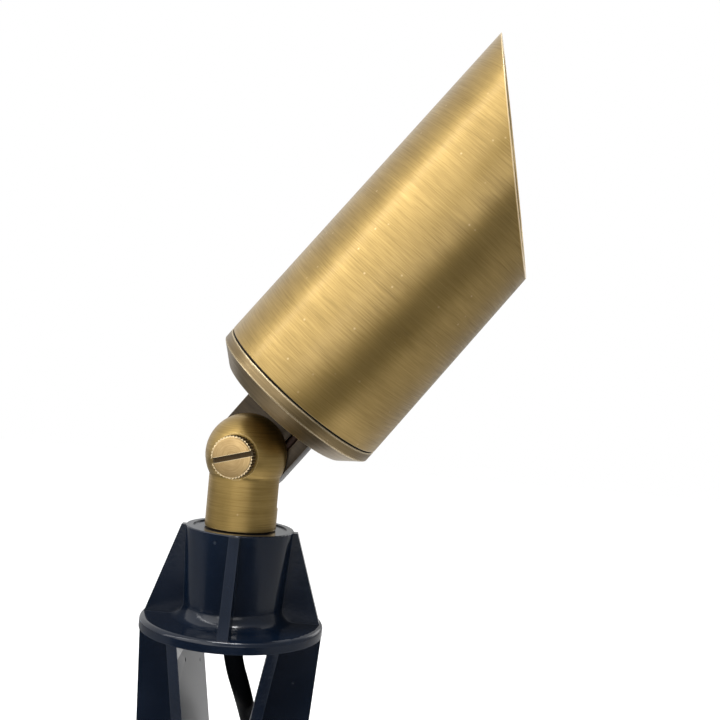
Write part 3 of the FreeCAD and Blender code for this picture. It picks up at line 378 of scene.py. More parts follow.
@dataclass(frozen=True)
class BrushedBrass:
    """Antique brass, brushed round its axis, with a darker, aged tone between the marks.

    The shade_and_patina attribute, where a piece has it, lays painted shade and dark oxide over the metal,
    and the lip_highlight attribute paints a pale satin highlight line.  Mark length and edge width are in
    metres.
    """

    name: str
    place: Matrix
    light: Colour = (0.46, 0.314, 0.106)
    dark: Colour = (0.24, 0.158, 0.047)
    edge: Colour = (0.72, 0.55, 0.30)
    grain: Grain = Grain.ROUND
    pitch: float = 2500.0
    length: float = 0.015
    rough: float = 0.40
    bump: float = 0.08
    speck_amount: float = 0.09
    edge_width: float = 0.00035
    wear_and_highlight: float = 0.75
    lacquer: float = 0.15
    # Near-black colour of the painted shade, with oxide, that the shade_and_patina attribute lays on.
    shade_and_patina_colour: Colour = (0.020, 0.013, 0.008)
    streak_share: float = 0.58
    patch_share: float = 0.24
    cloud_share: float = 0.18
    lacquer_rough: float = 0.24

    def build(self) -> bpy.types.Material:
        """Make the material."""
        material, g, surface = start_material(self.name)
        fx = effects()
        vector = own_coordinates(g, self.place)
        effect = fx.brushing if self.grain is Grain.ROUND else fx.rings
        marks = g.group(effect, {"Vector": vector, "Pitch": self.pitch, "Length": self.length}).outputs
        cloud = g.group(fx.mottle, {"Vector": vector, "Scale": 60.0}).outputs["Cloud"]
        specks = {"Vector": vector, "Scale": 420.0, "Amount": self.speck_amount}
        dots = g.group(fx.specks, specks).outputs["Dot"]
        worn = g.group(fx.worn_edge, {"Radius": self.edge_width, "Break": 0.5}).outputs["Edge"]
        shade_and_patina = g.node("ShaderNodeAttribute", attribute_name=SHADE_AND_PATINA).outputs["Fac"]
        lip_highlight = g.node("ShaderNodeAttribute", attribute_name=LIP_HIGHLIGHT).outputs["Fac"]
        streaks = g.math("MULTIPLY", marks["Streak"], self.streak_share)
        patches = g.math("MULTIPLY", marks["Patch"], self.patch_share)
        clouds = g.math("MULTIPLY", cloud, self.cloud_share)
        tone = g.math("ADD", g.math("ADD", streaks, patches), clouds)
        colour = g.mix(tone, self.dark, self.light)
        colour = g.mix(g.math("MULTIPLY", dots, 0.5), colour, self.edge)
        # Pale edges: partly worn metal, partly painted edge highlight; the lip's painted highlight line joins
        # them.
        pale_wear_and_highlight = g.math("MAXIMUM", g.math("MULTIPLY", worn, self.wear_and_highlight), lip_highlight)
        colour = g.mix(pale_wear_and_highlight, colour, self.edge)
        # Painted shade: darkens the thumbscrew's slot and knurled side nearly to black, over some oxide in
        # the slot.
        colour = g.mix(shade_and_patina, colour, self.shade_and_patina_colour)
        roughness = g.math("SUBTRACT", self.rough + 0.06, g.math("MULTIPLY", marks["Streak"], 0.12))
        roughness = g.math("ADD", roughness, g.math("MULTIPLY", shade_and_patina, 0.3))
        relief = {"Strength": self.bump, "Distance": 0.0002, "Height": marks["Height"]}
        bump = g.node("ShaderNodeBump", relief)
        g.tree.links.new(colour, surface.inputs["Base Color"])
        g.tree.links.new(roughness, surface.inputs["Roughness"])
        g.tree.links.new(bump.outputs[0], surface.inputs["Normal"])
        # The lip's painted highlight is made mostly non-metallic, so that its pale colour shows bright.
        metallic = g.math("SUBTRACT", 1.0, g.math("MULTIPLY", lip_highlight, 0.75))
        g.tree.links.new(metallic, surface.inputs["Metallic"])
        surface.inputs["Coat Weight"].default_value = self.lacquer
        surface.inputs["Coat Roughness"].default_value = self.lacquer_rough
        return material


@dataclass(frozen=True)
class MouldedPlastic:
    """Glossy navy-black moulded plastic with faint handling marks.

    The faces of the legs that look inwards, below inner_top in metres, are rougher than the rest.
    """

    name: str = "moulded_plastic"
    base: Colour = (0.0020, 0.0056, 0.0140)
    dust: Colour = (0.08, 0.09, 0.10)
    rough: float = 0.14
    inner_rough: float = 0.34
    inner_top: float = -0.004
    shine: float = 0.40

    def build(self) -> bpy.types.Material:
        """Make the material."""
        material, g, surface = start_material(self.name)
        fx = effects()
        vector = g.node("ShaderNodeTexCoord").outputs["Object"]
        cloud = g.group(fx.mottle, {"Vector": vector, "Scale": 55.0}).outputs["Cloud"]
        fine = g.group(fx.mottle, {"Vector": vector, "Scale": 900.0}).outputs["Cloud"]
        dots = g.group(fx.specks, {"Vector": vector, "Scale": 300.0, "Amount": 0.03}).outputs["Dot"]
        worn = g.group(fx.worn_edge, {"Radius": 0.0005, "Break": 0.8}).outputs["Edge"]
        lighter = tuple(channel * 1.6 for channel in self.base)
        colour = g.mix(g.math("MULTIPLY", cloud, 0.6), self.base, lighter)
        colour = g.mix(g.math("MULTIPLY", dots, 0.35), colour, self.dust)
        colour = g.mix(g.math("MULTIPLY", worn, 0.12), colour, self.dust)
        roughness = g.math("ADD", self.rough, g.math("MULTIPLY", cloud, 0.08))
        facing = g.node("ShaderNodeSeparateXYZ", {0: g.node("ShaderNodeNewGeometry").outputs["True Normal"]})
        spot = g.node("ShaderNodeSeparateXYZ", {0: vector})
        inward = g.math("MULTIPLY", facing.outputs[0], g.math("SIGN", spot.outputs[0]))
        inner = g.math("MULTIPLY", g.math("LESS_THAN", inward, -0.9),
                       g.math("LESS_THAN", spot.outputs[2], self.inner_top))
        roughness = g.math("MAXIMUM", roughness, g.math("MULTIPLY", inner, self.inner_rough))
        bump = g.node("ShaderNodeBump", {"Strength": 0.05, "Distance": 0.0002, "Height": fine})
        g.tree.links.new(colour, surface.inputs["Base Color"])
        g.tree.links.new(roughness, surface.inputs["Roughness"])
        g.tree.links.new(bump.outputs[0], surface.inputs["Normal"])
        surface.inputs["IOR"].default_value = 1.5
        surface.inputs["Specular IOR Level"].default_value = self.shine
        return material


@dataclass(frozen=True)
class SoftRubber:
    """Matt rubber or flexible sheath, with a fine grain."""

    name: str
    base: Colour = (0.012, 0.012, 0.013)
    lighter: Colour = (0.030, 0.030, 0.031)
    rough: float = 0.55
    grain: float = 1400.0
    shine: float = 0.5

    def build(self) -> bpy.types.Material:
        """Make the material."""
        material, g, surface = start_material(self.name)
        surface.inputs["Specular IOR Level"].default_value = self.shine
        fx = effects()
        vector = g.node("ShaderNodeTexCoord").outputs["Object"]
        cloud = g.group(fx.mottle, {"Vector": vector, "Scale": 90.0}).outputs["Cloud"]
        fine = g.group(fx.mottle, {"Vector": vector, "Scale": self.grain}).outputs["Cloud"]
        g.tree.links.new(g.mix(cloud, self.base, self.lighter), surface.inputs["Base Color"])
        roughness = g.math("ADD", self.rough - 0.06, g.math("MULTIPLY", fine, 0.12))
        g.tree.links.new(roughness, surface.inputs["Roughness"])
        bump = g.node("ShaderNodeBump", {"Strength": 0.12, "Distance": 0.0002, "Height": fine})
        g.tree.links.new(bump.outputs[0], surface.inputs["Normal"])
        return material


@dataclass(frozen=True)
class PlainMetal:
    """Plated steel, bare copper or a mirror coat, with a little grain."""

    name: str
    base: Colour = (0.55, 0.55, 0.56)
    darker: Colour = (0.36, 0.36, 0.37)
    rough: float = 0.3
    grain: float = 700.0

    def build(self) -> bpy.types.Material:
        """Make the material."""
        material, g, surface = start_material(self.name)
        fx = effects()
        vector = g.node("ShaderNodeTexCoord").outputs["Object"]
        fine = g.group(fx.mottle, {"Vector": vector, "Scale": self.grain}).outputs["Cloud"]
        worn = g.group(fx.worn_edge, {"Radius": 0.0002, "Break": 0.4}).outputs["Edge"]
        colour = g.mix(fine, self.darker, self.base)
        colour = g.mix(g.math("MULTIPLY", worn, 0.5), colour, self.base)
        g.tree.links.new(colour, surface.inputs["Base Color"])
        roughness = g.math("ADD", self.rough, g.math("MULTIPLY", fine, 0.1))
        g.tree.links.new(roughness, surface.inputs["Roughness"])
        surface.inputs["Metallic"].default_value = 1.0
        return material


@dataclass(frozen=True)
class FiredCeramic:
    """Unglazed off-white ceramic, or pressed fibre."""

    name: str
    base: Colour = (0.72, 0.69, 0.62)
    darker: Colour = (0.60, 0.57, 0.50)
    rough: float = 0.6

    def build(self) -> bpy.types.Material:
        """Make the material."""
        material, g, surface = start_material(self.name)
        fx = effects()
        vector = g.node("ShaderNodeTexCoord").outputs["Object"]
        fine = g.group(fx.mottle, {"Vector": vector, "Scale": 1100.0}).outputs["Cloud"]
        g.tree.links.new(g.mix(fine, self.darker, self.base), surface.inputs["Base Color"])
        roughness = g.math("ADD", self.rough, g.math("MULTIPLY", fine, 0.15))
        g.tree.links.new(roughness, surface.inputs["Roughness"])
        bump = g.node("ShaderNodeBump", {"Strength": 0.15, "Distance": 0.0002, "Height": fine})
        g.tree.links.new(bump.outputs[0], surface.inputs["Normal"])
        return material


@dataclass(frozen=True)
class ClearGlass:
    """Clear glass with a slight haze of dust towards its rim."""

    name: str
    tint: Colour = (0.96, 0.98, 0.97)
    dust: float = 0.05

    def build(self) -> bpy.types.Material:
        """Make the material."""
        material, g, surface = start_material(self.name)
        fx = effects()
        vector = g.node("ShaderNodeTexCoord").outputs["Object"]
        cloud = g.group(fx.mottle, {"Vector": vector, "Scale": 120.0}).outputs["Cloud"]
        g.tree.links.new(g.math("MULTIPLY", cloud, self.dust), surface.inputs["Roughness"])
        surface.inputs["Base Color"].default_value = (*self.tint, 1.0)
        surface.inputs["Transmission Weight"].default_value = 1.0
        surface.inputs["IOR"].default_value = 1.5
        return material


# ------------------------------------------------------------------------------------------------
# Mesh building
# ------------------------------------------------------------------------------------------------

def rounded(points: Sequence[tuple[float, float, float]], steps: int = 5) -> list[Point]:
    """A closed outline whose corners are rounded.

    Args:
        points: Corners as (x, y, radius), in millimetres.
        steps: How many points make each round.
    Returns:
        The outline's points.
    """
    outline: list[Point] = []
    count = len(points)
    for index, (x, y, radius) in enumerate(points):
        if radius <= 0:
            outline.append((x, y))
            continue
        corner = Vector((x, y))
        before = Vector(points[index - 1][:2]) - corner
        after = Vector(points[(index + 1) % count][:2]) - corner
        reach = min(before.length, after.length) * 0.49
        before.normalize()
        after.normalize()
        half = math.acos(max(-1.0, min(1.0, before.dot(after)))) / 2
        size = min(radius, reach * math.tan(half))
        centre = corner + (before + after).normalized() * (size / math.sin(half))
        start = corner + before * (size / math.tan(half)) - centre
        finish = corner + after * (size / math.tan(half)) - centre
        for step in range(steps + 1):
            part = step / steps
            spoke = (start * (1 - part) + finish * part).normalized() * size
            outline.append(tuple(centre + spoke))
    return outline


def lathe(outline: Sequence[Point], segments: int = 160) -> bmesh.types.BMesh:
    """Turn a closed outline of (radius, height) points in millimetres about Z.

    Args:
        outline: The section, closed, with any points on the axis at radius 0.
        segments: How many steps make the turn.
    Returns:
        The mesh, in metres.
    """
    bm = bmesh.new()
    rings: list[list[bmesh.types.BMVert]] = []
    for radius, height in outline:
        if radius < 1e-6:
            rings.append([bm.verts.new((0, 0, height * MM))])
            continue
        ring = []
        for step in range(segments):
            angle = 2 * math.pi * step / segments
            place = (radius * MM * math.cos(angle), radius * MM * math.sin(angle), height * MM)
            ring.append(bm.verts.new(place))
        rings.append(ring)
    for index, ring in enumerate(rings):
        other = rings[(index + 1) % len(rings)]
        if len(ring) == 1 and len(other) == 1:
            continue
        for step in range(segments):
            following = (step + 1) % segments
            if len(ring) == 1:
                bm.faces.new((ring[0], other[step], other[following]))
            elif len(other) == 1:
                bm.faces.new((ring[step], ring[following], other[0]))
            else:
                bm.faces.new((ring[step], ring[following], other[following], other[step]))
    bmesh.ops.recalc_face_normals(bm, faces=bm.faces)
    return bm


def prism(outline: Sequence[Point], low: float, high: float) -> bmesh.types.BMesh:
    """A closed outline in X and Z, in millimetres, drawn out along Y from low to high."""
    bm = bmesh.new()
    near = [bm.verts.new((x * MM, low * MM, z * MM)) for x, z in outline]
    far = [bm.verts.new((x * MM, high * MM, z * MM)) for x, z in outline]
    bm.faces.new(near)
    bm.faces.new(far)
    for index in range(len(outline)):
        following = (index + 1) % len(outline)
        bm.faces.new((near[index], near[following], far[following], far[index]))
    bmesh.ops.recalc_face_normals(bm, faces=bm.faces)
    return bm


def box_mesh(x: Point, y: Point, z: Point) -> bmesh.types.BMesh:
    """A block between pairs of coordinates in millimetres."""
    bm = bmesh.new()
    bmesh.ops.create_cube(bm, size=1.0)
    size = Matrix.Diagonal(((x[1] - x[0]) * MM, (y[1] - y[0]) * MM, (z[1] - z[0]) * MM, 1))
    middle = Matrix.Translation((sum(x) / 2 * MM, sum(y) / 2 * MM, sum(z) / 2 * MM))
    bmesh.ops.transform(bm, verts=bm.verts, matrix=middle @ size)
    return bm


def to_object(bm: bmesh.types.BMesh, name: str) -> bpy.types.Object:
    """A scene object from a mesh under construction, which is then freed."""
    mesh = bpy.data.meshes.new(name)
    bm.to_mesh(mesh)
    bm.free()
    obj = bpy.data.objects.new(name, mesh)
    bpy.context.scene.collection.objects.link(obj)
    return obj


def settle(obj: bpy.types.Object) -> bpy.types.Object:
    """Turn an object's modifiers into plain mesh."""
    graph = bpy.context.evaluated_depsgraph_get()
    mesh = bpy.data.meshes.new_from_object(obj.evaluated_get(graph), depsgraph=graph)
    old = obj.data
    obj.modifiers.clear()
    if obj.type == "MESH":
        obj.data = mesh
        bpy.data.meshes.remove(old)
        return obj
    name = obj.name
    bpy.data.objects.remove(obj)
    made = bpy.data.objects.new(name, mesh)
    bpy.context.scene.collection.objects.link(made)
    return made


def carve(obj: bpy.types.Object, tool: bpy.types.Object) -> bpy.types.Object:
    """Cut a tool object out of an object; the tool is then removed."""
    modifier = obj.modifiers.new("carve", "BOOLEAN")
    modifier.operation = "DIFFERENCE"
    modifier.solver = "EXACT"
    modifier.object = tool
    settle(obj)
    bpy.data.objects.remove(tool)
    return obj


def soften(obj: bpy.types.Object, width: float, steps: int, angle: float) -> bpy.types.Object:
    """Round the corners of an object sharper than an angle in degrees, by a width in millimetres."""
    modifier = obj.modifiers.new("soften", "BEVEL")
    modifier.width = width * MM
    modifier.segments = steps
    modifier.limit_method = "ANGLE"
    modifier.angle_limit = math.radians(angle)
    modifier.harden_normals = False
    modifier.use_clamp_overlap = True
    return settle(obj)


def dress(obj: bpy.types.Object, body: Body, material: bpy.types.Material,
          nodes: Sequence[str] = (), place: Matrix | None = None, crease: float = 32.0,
          even: bool = False) -> bpy.types.Object:
    """Finish a piece: put it in place, shade it, give it its material and body.

    Args:
        obj: The piece, drawn in its own frame.
        body: The body it rides on.
        material: Its finish.
        nodes: CAD nodes it stands for.
        place: Its placement in the row, when it isn't drawn there.
        crease: Corners sharper than this many degrees stay sharp.
        even: Weight the shading by the size of the faces, so that long faces stay plain beside rounds.
    Returns:
        The piece.
    """
    if place is not None:
        obj.data.transform(place)
    obj.data.update()
    for polygon in obj.data.polygons:
        polygon.use_smooth = True
    obj.data.set_sharp_from_angle(angle=math.radians(crease))
    if even:
        weighting = obj.modifiers.new("even", "WEIGHTED_NORMAL")
        weighting.keep_sharp = True
        settle(obj)
    obj.data.materials.clear()
    obj.data.materials.append(material)
    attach(obj, body.value)
    if nodes:
        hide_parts(*nodes)
    LOG.info("piece %s: %d faces on %s", obj.name, len(obj.data.polygons), body.value)
    return obj


def cad_copy(frame: dict, node: str, name: str) -> bpy.types.Object:
    """A welded copy of a CAD node's mesh with its flat faces made whole."""
    source = frame["nodes"][node]
    bm = bmesh.new()
    bm.from_mesh(source.data)
    bm.transform(source.matrix_world)
    bmesh.ops.remove_doubles(bm, verts=bm.verts, dist=2e-6)
    bmesh.ops.dissolve_limit(bm, angle_limit=math.radians(0.8), verts=bm.verts, edges=bm.edges)
    return to_object(bm, name)


def finish_node(frame: dict, node: str, material: bpy.types.Material) -> None:
    """Give a CAD node that stays as it is its finish."""
    obj = frame["nodes"][node]
    for slot in obj.material_slots:
        slot.material = material
    if not obj.material_slots:
        obj.data.materials.append(material)
    LOG.info("node %s: finish %s", node, material.name)


# ------------------------------------------------------------------------------------------------
# Geometry Nodes
# ------------------------------------------------------------------------------------------------

@dataclass(frozen=True)
class TreeInput:
    """A named input of a Geometry Nodes tree and its value in metres, radians or counts."""

    name: str
    value: float | int | Vector

    @property
    def socket(self) -> str:
        """The socket type that suits the value."""
        if isinstance(self.value, Vector):
            return "NodeSocketVector"
        return "NodeSocketInt" if isinstance(self.value, int) else "NodeSocketFloat"


class GrowthTree:
    """A Geometry Nodes tree with named inputs, applied once to a mesh that it makes or changes."""

    def __init__(self, name: str, inputs: Sequence[TreeInput]) -> None:
        """Make the tree with a Geometry input, its named inputs and a Geometry output."""
        self.tree = bpy.data.node_groups.new(name, "GeometryNodeTree")
        self.values: dict[str, float | int | Vector] = {}
        self.tree.interface.new_socket("Geometry", in_out="INPUT", socket_type="NodeSocketGeometry")
        for given in inputs:
            made = self.tree.interface.new_socket(given.name, in_out="INPUT", socket_type=given.socket)
            self.values[made.identifier] = given.value
        self.tree.interface.new_socket("Geometry", in_out="OUTPUT", socket_type="NodeSocketGeometry")
        self.graph = ShaderGraph(self.tree)
        self.given = self.tree.nodes.new("NodeGroupInput")
        self.result = self.tree.nodes.new("NodeGroupOutput")

    def input(self, name: str) -> bpy.types.NodeSocket:
        """The socket that carries a named input."""
        return self.given.outputs[name]

    def close(self, geometry: bpy.types.NodeSocket, material: bpy.types.Material) -> None:
        """End the tree in Realize Instances and Set Material."""
        real = self.graph.node("GeometryNodeRealizeInstances", {"Geometry": geometry})
        painted = self.graph.node("GeometryNodeSetMaterial",
                                  {"Geometry": real.outputs[0], "Material": material})
        self.tree.links.new(painted.outputs[0], self.result.inputs["Geometry"])

    def grow(self, obj: bpy.types.Object) -> bpy.types.Object:
        """Run the tree on an object and keep the result as plain mesh."""
        modifier = obj.modifiers.new(self.tree.name, "NODES")
        modifier.node_group = self.tree
        for identifier, value in self.values.items():
            modifier[identifier] = value
        return settle(obj)


def empty_mesh(name: str) -> bpy.types.Object:
    """An object with an empty mesh, for a tree that makes everything itself."""
    return to_object(bmesh.new(), name)


def join(first: bpy.types.Object, others: Iterable[bpy.types.Object]) -> bpy.types.Object:
    """Join plain mesh objects, which stand at the origin, into the first."""
    bm = bmesh.new()
    bm.from_mesh(first.data)
    for other in others:
        bm.from_mesh(other.data)
        bpy.data.objects.remove(other)
    bm.to_mesh(first.data)
    bm.free()
    return first


# ------------------------------------------------------------------------------------------------
# Ground spike
# ------------------------------------------------------------------------------------------------

@dataclass
class GroundSpike:
    """The moulded spike: hub with its recessed rim, flange, four gussets and two leaning legs."""

    edge_round: float = 0.55
    edge_angle: float = 28.0
    plate_lean: float = 9.32
    pin_radius: float = 0.7
    pin_depth: float = 1.4
    pin_sides: int = 16
    front_pin: Place = (-13.25, -13.4, -8.23)
    rear_pin: Place = (-11.78, 17.06, -17.17)

    def build(self, frame: dict, plastic: bpy.types.Material) -> None:
        """Build and dress the spike.

        Args:
            frame: The loaded frame.
            plastic: The moulded finish.
        """
        spike = cad_copy(frame, "ground_spike", "spike_moulding")
        soften(spike, self.edge_round, 2, self.edge_angle)
        carve(spike, self.pins(plastic))
        dress(spike, Body.STAKE, plastic, ["ground_spike"], crease=38.0, even=True)

    def pins(self, plastic: bpy.types.Material) -> bpy.types.Object:
        """The small cylinders that leave the mould's pin holes in the legs' inner faces."""
        tree = GrowthTree("ejector_pins", [
            TreeInput("Front", Vector(self.front_pin) * MM), TreeInput("Rear", Vector(self.rear_pin) * MM),
            TreeInput("Radius", self.pin_radius * MM), TreeInput("Length", self.pin_depth * 2 * MM),
            TreeInput("Turn", Vector((0.0, math.radians(90 + self.plate_lean), 0.0)))])
        g = tree.graph
        ends = {"Count": 2, "Start Location": tree.input("Front"), "Offset": tree.input("Rear")}
        line = g.node("GeometryNodeMeshLine", ends, mode="END_POINTS")
        sizes = {"Vertices": self.pin_sides, "Radius": tree.input("Radius"), "Depth": tree.input("Length")}
        pin = g.node("GeometryNodeMeshCylinder", sizes)
        put = g.node("GeometryNodeInstanceOnPoints", {
            "Points": line.outputs[0], "Instance": pin.outputs[0], "Rotation": tree.input("Turn")})
        tree.close(put.outputs[0], plastic)
        left, right = tree.grow(empty_mesh("left_pins")), tree.grow(empty_mesh("right_pins"))
        right.data.transform(Matrix.Rotation(math.pi, 4, "Z"))
        return join(left, [right])


# ------------------------------------------------------------------------------------------------
# Knuckle
# ------------------------------------------------------------------------------------------------

@dataclass
class KnucklePost:
    """The post with its half-lap ball, in millimetres in the knuckle's frame."""

    foot_z: float = 35.35
    stub_length: float = 11.0
    stub_radius: float = 10.35
    radius: float = 12.5
    ball_radius: float = 14.5
    pivot_z: float = STANCE.pivot_z
    lap_y: float = 0.5
    lap_drop: float = 18.3
    seat_y: float = -12.2
    seat_radius: float = 8.0
    screw_hole: float = 3.2
    pocket_z: float = 29.0
    pocket_radius: float = 6.2
    lead_radius: float = 3.4
    stub_chamfer: float = 0.7
    foot_chamfer: float = 0.5
    edge_round: float = 0.28
    edge_angle: float = 35.0
    ball_steps: int = 48
    around: int = 144
    drill_sides: int = 96
    bore_sides: int = 48
    support_rings: tuple[float, ...] = (16.0, 10.0, 5.0, 2.4, 1.6, 0.9, 0.0)

    def build(self, brass: bpy.types.Material) -> None:
        """Build and dress the post.

        Args:
            brass: Its finish.
        """
        post = to_object(lathe(self.outline(), self.around), "post_with_ball")
        reach = self.ball_radius * 1.5
        floor = self.pivot_z - self.lap_drop
        lap = box_mesh((-reach, reach), (self.lap_y, reach), (floor, self.pivot_z + reach))
        carve(post, to_object(lap, "cutter"))
        across = Matrix.Translation((0, 0, self.pivot_z * MM)) @ Matrix.Rotation(math.radians(90), 4, "X")
        drills = ((self.seat_radius, -self.seat_y, reach), (self.screw_hole, -reach, reach))
        for radius, near, far in drills:
            drill = lathe([(0, near), (radius, near), (radius, far), (0, far)], self.drill_sides)
            bmesh.ops.transform(drill, verts=drill.verts, matrix=across)
            carve(post, to_object(drill, "cutter"))
        low = self.foot_z - self.stub_length - 2
        for radius, bottom, top in ((self.lead_radius, low, self.pocket_z + 0.5),
                                    (self.pocket_radius, self.pocket_z, floor)):
            bore = lathe([(0, bottom), (radius, bottom), (radius, top), (0, top)], self.bore_sides)
            carve(post, to_object(bore, "cutter"))
        soften(post, self.edge_round, 2, self.edge_angle)
        dress(post, Body.KNUCKLE, brass, ["knuckle_post"], STANCE.knuckle(), crease=30.0,
              even=True)

    def outline(self) -> list[Point]:
        """The turned section: stub, shoulder, post and ball."""
        join_z = self.pivot_z - math.sqrt(self.ball_radius ** 2 - self.radius ** 2)
        stub = self.foot_z - self.stub_length
        points: list[Point] = [
            (0, stub), (self.stub_radius - self.stub_chamfer, stub),
            (self.stub_radius, stub + self.stub_chamfer), (self.stub_radius, self.foot_z),
            (self.radius - self.foot_chamfer, self.foot_z), (self.radius, self.foot_z + self.foot_chamfer)]
        points += [(self.radius, join_z - below) for below in self.support_rings]
        start = math.asin((join_z - self.pivot_z) / self.ball_radius)
        for step in range(1, self.ball_steps):
            angle = start + (math.pi / 2 - start) * step / self.ball_steps
            height = self.pivot_z + self.ball_radius * math.sin(angle)
            points.append((self.ball_radius * math.cos(angle), height))
        points.append((0, self.pivot_z + self.ball_radius))
        return points


@dataclass
class Thumbscrew:
    """The knurled thumbscrew, in millimetres in its own frame: face at Z 0, shank towards -Z."""

    head_radius: float = 7.35
    head_thick: float = 5.15
    knurl_depth: float = 0.42
    knurl_count: int = 40
    shank_radius: float = 3.0
    length: float = 27.4
    slot_width: float = 1.8
    slot_depth: float = 1.7
    slot_turn: float = 16.1
    slot_round: float = 0.12
    slot_angle: float = 40.0
    around: int = 120
    face_round: float = 0.4
    face_y: float = -17.4
    # Levels of painted shade: in the slot, over dark oxide; down the knurled side; more towards the ridges'
    # roots.
    slot_shade_and_patina: float = 0.85
    side_shade: float = 0.55
    root_shade: float = 0.42

    def build(self, brass: bpy.types.Material) -> None:
        """Build and dress the screw.

        Args:
            brass: Its finish.
        """
        core = self.head_radius - self.knurl_depth
        outline = rounded([
            (0, 0, 0), (core, 0, self.face_round), (core, -self.head_thick, self.face_round),
            (self.shank_radius, -self.head_thick, 0), (self.shank_radius, -self.length, 0.5),
            (0, -self.length, 0)])
        head = carve(to_object(lathe(outline, self.around), "thumbscrew_turned"), self.slot())
        soften(head, self.slot_round, 1, self.slot_angle)
        head = join(head, [carve(self.ridges(brass), self.slot())])
        self.paint_shade_and_patina(head)
        dress(head, Body.THUMBSCREW, brass, ["thumbscrew"], STANCE.screw(self.face_y),
              crease=30.0)

    def paint_shade_and_patina(self, head: bpy.types.Object) -> None:
        """Mark the painted shade: dark oxide and shade in the slot, shade down the side, darkest between the
        ridges.
        """
        across = Matrix.Rotation(math.radians(-self.slot_turn), 4, "Z")
        mesh = head.data
        shade_and_patina = mesh.attributes.new(SHADE_AND_PATINA, "FLOAT", "CORNER")
        for polygon in mesh.polygons:
            spot = polygon.center
            in_slot = abs((across @ spot).y) < (self.slot_width / 2 + 0.02) * MM and spot.z < -0.25 * MM
            upright = abs(polygon.normal.z) < 0.3
            on_side = upright and -self.head_thick * MM < spot.z < -self.face_round * MM
            for corner in polygon.loop_indices:
                radius = mesh.vertices[mesh.loops[corner].vertex_index].co.xy.length / MM
                depth = min(1.0, max(0.0, (self.head_radius - radius) / self.knurl_depth))
                level = 0.0
                if in_slot:
                    level = self.slot_shade_and_patina
                elif on_side:
                    level = self.side_shade + self.root_shade * depth
                shade_and_patina.data[corner].value = level

    def slot(self) -> bpy.types.Object:
        """The block that cuts the driving slot across the head."""
        reach = self.head_radius * 1.5
        half = self.slot_width / 2
        slot = box_mesh((-reach, reach), (-half, half), (-self.slot_depth, reach))
        bmesh.ops.transform(slot, verts=slot.verts,
                            matrix=Matrix.Rotation(math.radians(self.slot_turn), 4, "Z"))
        return to_object(slot, "cutter")

    def ridges(self, brass: bpy.types.Material) -> bpy.types.Object:
        """The straight knurl: one ridge repeated round the head."""
        tree = GrowthTree("straight_knurl", [
            TreeInput("Count", self.knurl_count),
            TreeInput("Root", (self.head_radius - self.knurl_depth) * MM),
            TreeInput("Height", self.knurl_depth * MM),
            TreeInput("Length", (self.head_thick - 0.5) * MM),
            TreeInput("Middle", -self.head_thick / 2 * MM)])
        g = tree.graph
        points = g.node("GeometryNodeMeshLine", {"Count": tree.input("Count")}, mode="OFFSET")
        index = g.node("GeometryNodeInputIndex").outputs[0]
        angle = g.math("DIVIDE", g.math("MULTIPLY", index, 2 * math.pi), tree.input("Count"))
        x = g.math("MULTIPLY", g.math("COSINE", angle), tree.input("Root"))
        y = g.math("MULTIPLY", g.math("SINE", angle), tree.input("Root"))
        spot = g.node("ShaderNodeCombineXYZ", {0: x, 1: y, 2: tree.input("Middle")}).outputs[0]
        ring = g.node("GeometryNodeSetPosition", {"Geometry": points.outputs[0], "Position": spot})
        sizes = {"Vertices": 4, "Radius": tree.input("Height"), "Depth": tree.input("Length")}
        ridge = g.node("GeometryNodeMeshCylinder", sizes)
        turn = g.node("ShaderNodeCombineXYZ", {2: angle}).outputs[0]
        wide = g.node("FunctionNodeInputVector")
        wide.vector = (1.0, 1.25, 1.0)
        put = g.node("GeometryNodeInstanceOnPoints", {
            "Points": ring.outputs[0], "Instance": ridge.outputs[0], "Rotation": turn,
            "Scale": wide.outputs[0]})
        tree.close(put.outputs[0], brass)
        return tree.grow(empty_mesh("knurl"))


@dataclass
class Tongue:
    """The tongue between the post and the rear cap, in millimetres in the head's frame."""

    near: float = 1.05
    thick: float = 10.5
    half_width: float = 14.2
    back_s: float = 21.2
    slot_x: float = 8.5
    slot_width: float = 3.0
    slot_depth: float = 5.4
    hole_radius: float = 3.05
    hole_sides: int = 48
    cut_reach: float = 20.0
    end_steps: int = 48
    edge_round: float = 0.3
    edge_angle: float = 35.0

    def build(self, brass: bpy.types.Material) -> None:
        """Build and dress the tongue.

        Args:
            brass: Its finish.
        """
        outline: list[Point] = [(-self.half_width, self.back_s), (-self.half_width, 0)]
        for step in range(1, self.end_steps):
            angle = math.pi + math.pi * step / self.end_steps
            outline.append((self.half_width * math.cos(angle), self.half_width * math.sin(angle)))
        outline += [(self.half_width, 0), (self.half_width, self.back_s)]
        tongue = to_object(prism(outline, self.near, self.near + self.thick), "tongue_bar")
        half, reach = self.slot_width / 2, self.cut_reach
        channel = box_mesh((self.slot_x - half, self.slot_x + half), (-reach, self.near + self.slot_depth),
                           (-1.5 * reach, 2 * reach))
        carve(tongue, to_object(channel, "cutter"))
        drill: list[Point] = [(0, -reach), (self.hole_radius, -reach), (self.hole_radius, reach), (0, reach)]
        hole = lathe(drill, self.hole_sides)
        bmesh.ops.transform(hole, verts=hole.verts, matrix=Matrix.Rotation(math.radians(90), 4, "X"))
        carve(tongue, to_object(hole, "cutter"))
        soften(tongue, self.edge_round, 2, self.edge_angle)
        dress(tongue, Body.HEAD, brass, ["knuckle_tongue"], STANCE.head())


# ------------------------------------------------------------------------------------------------
# Lamp head
# ------------------------------------------------------------------------------------------------

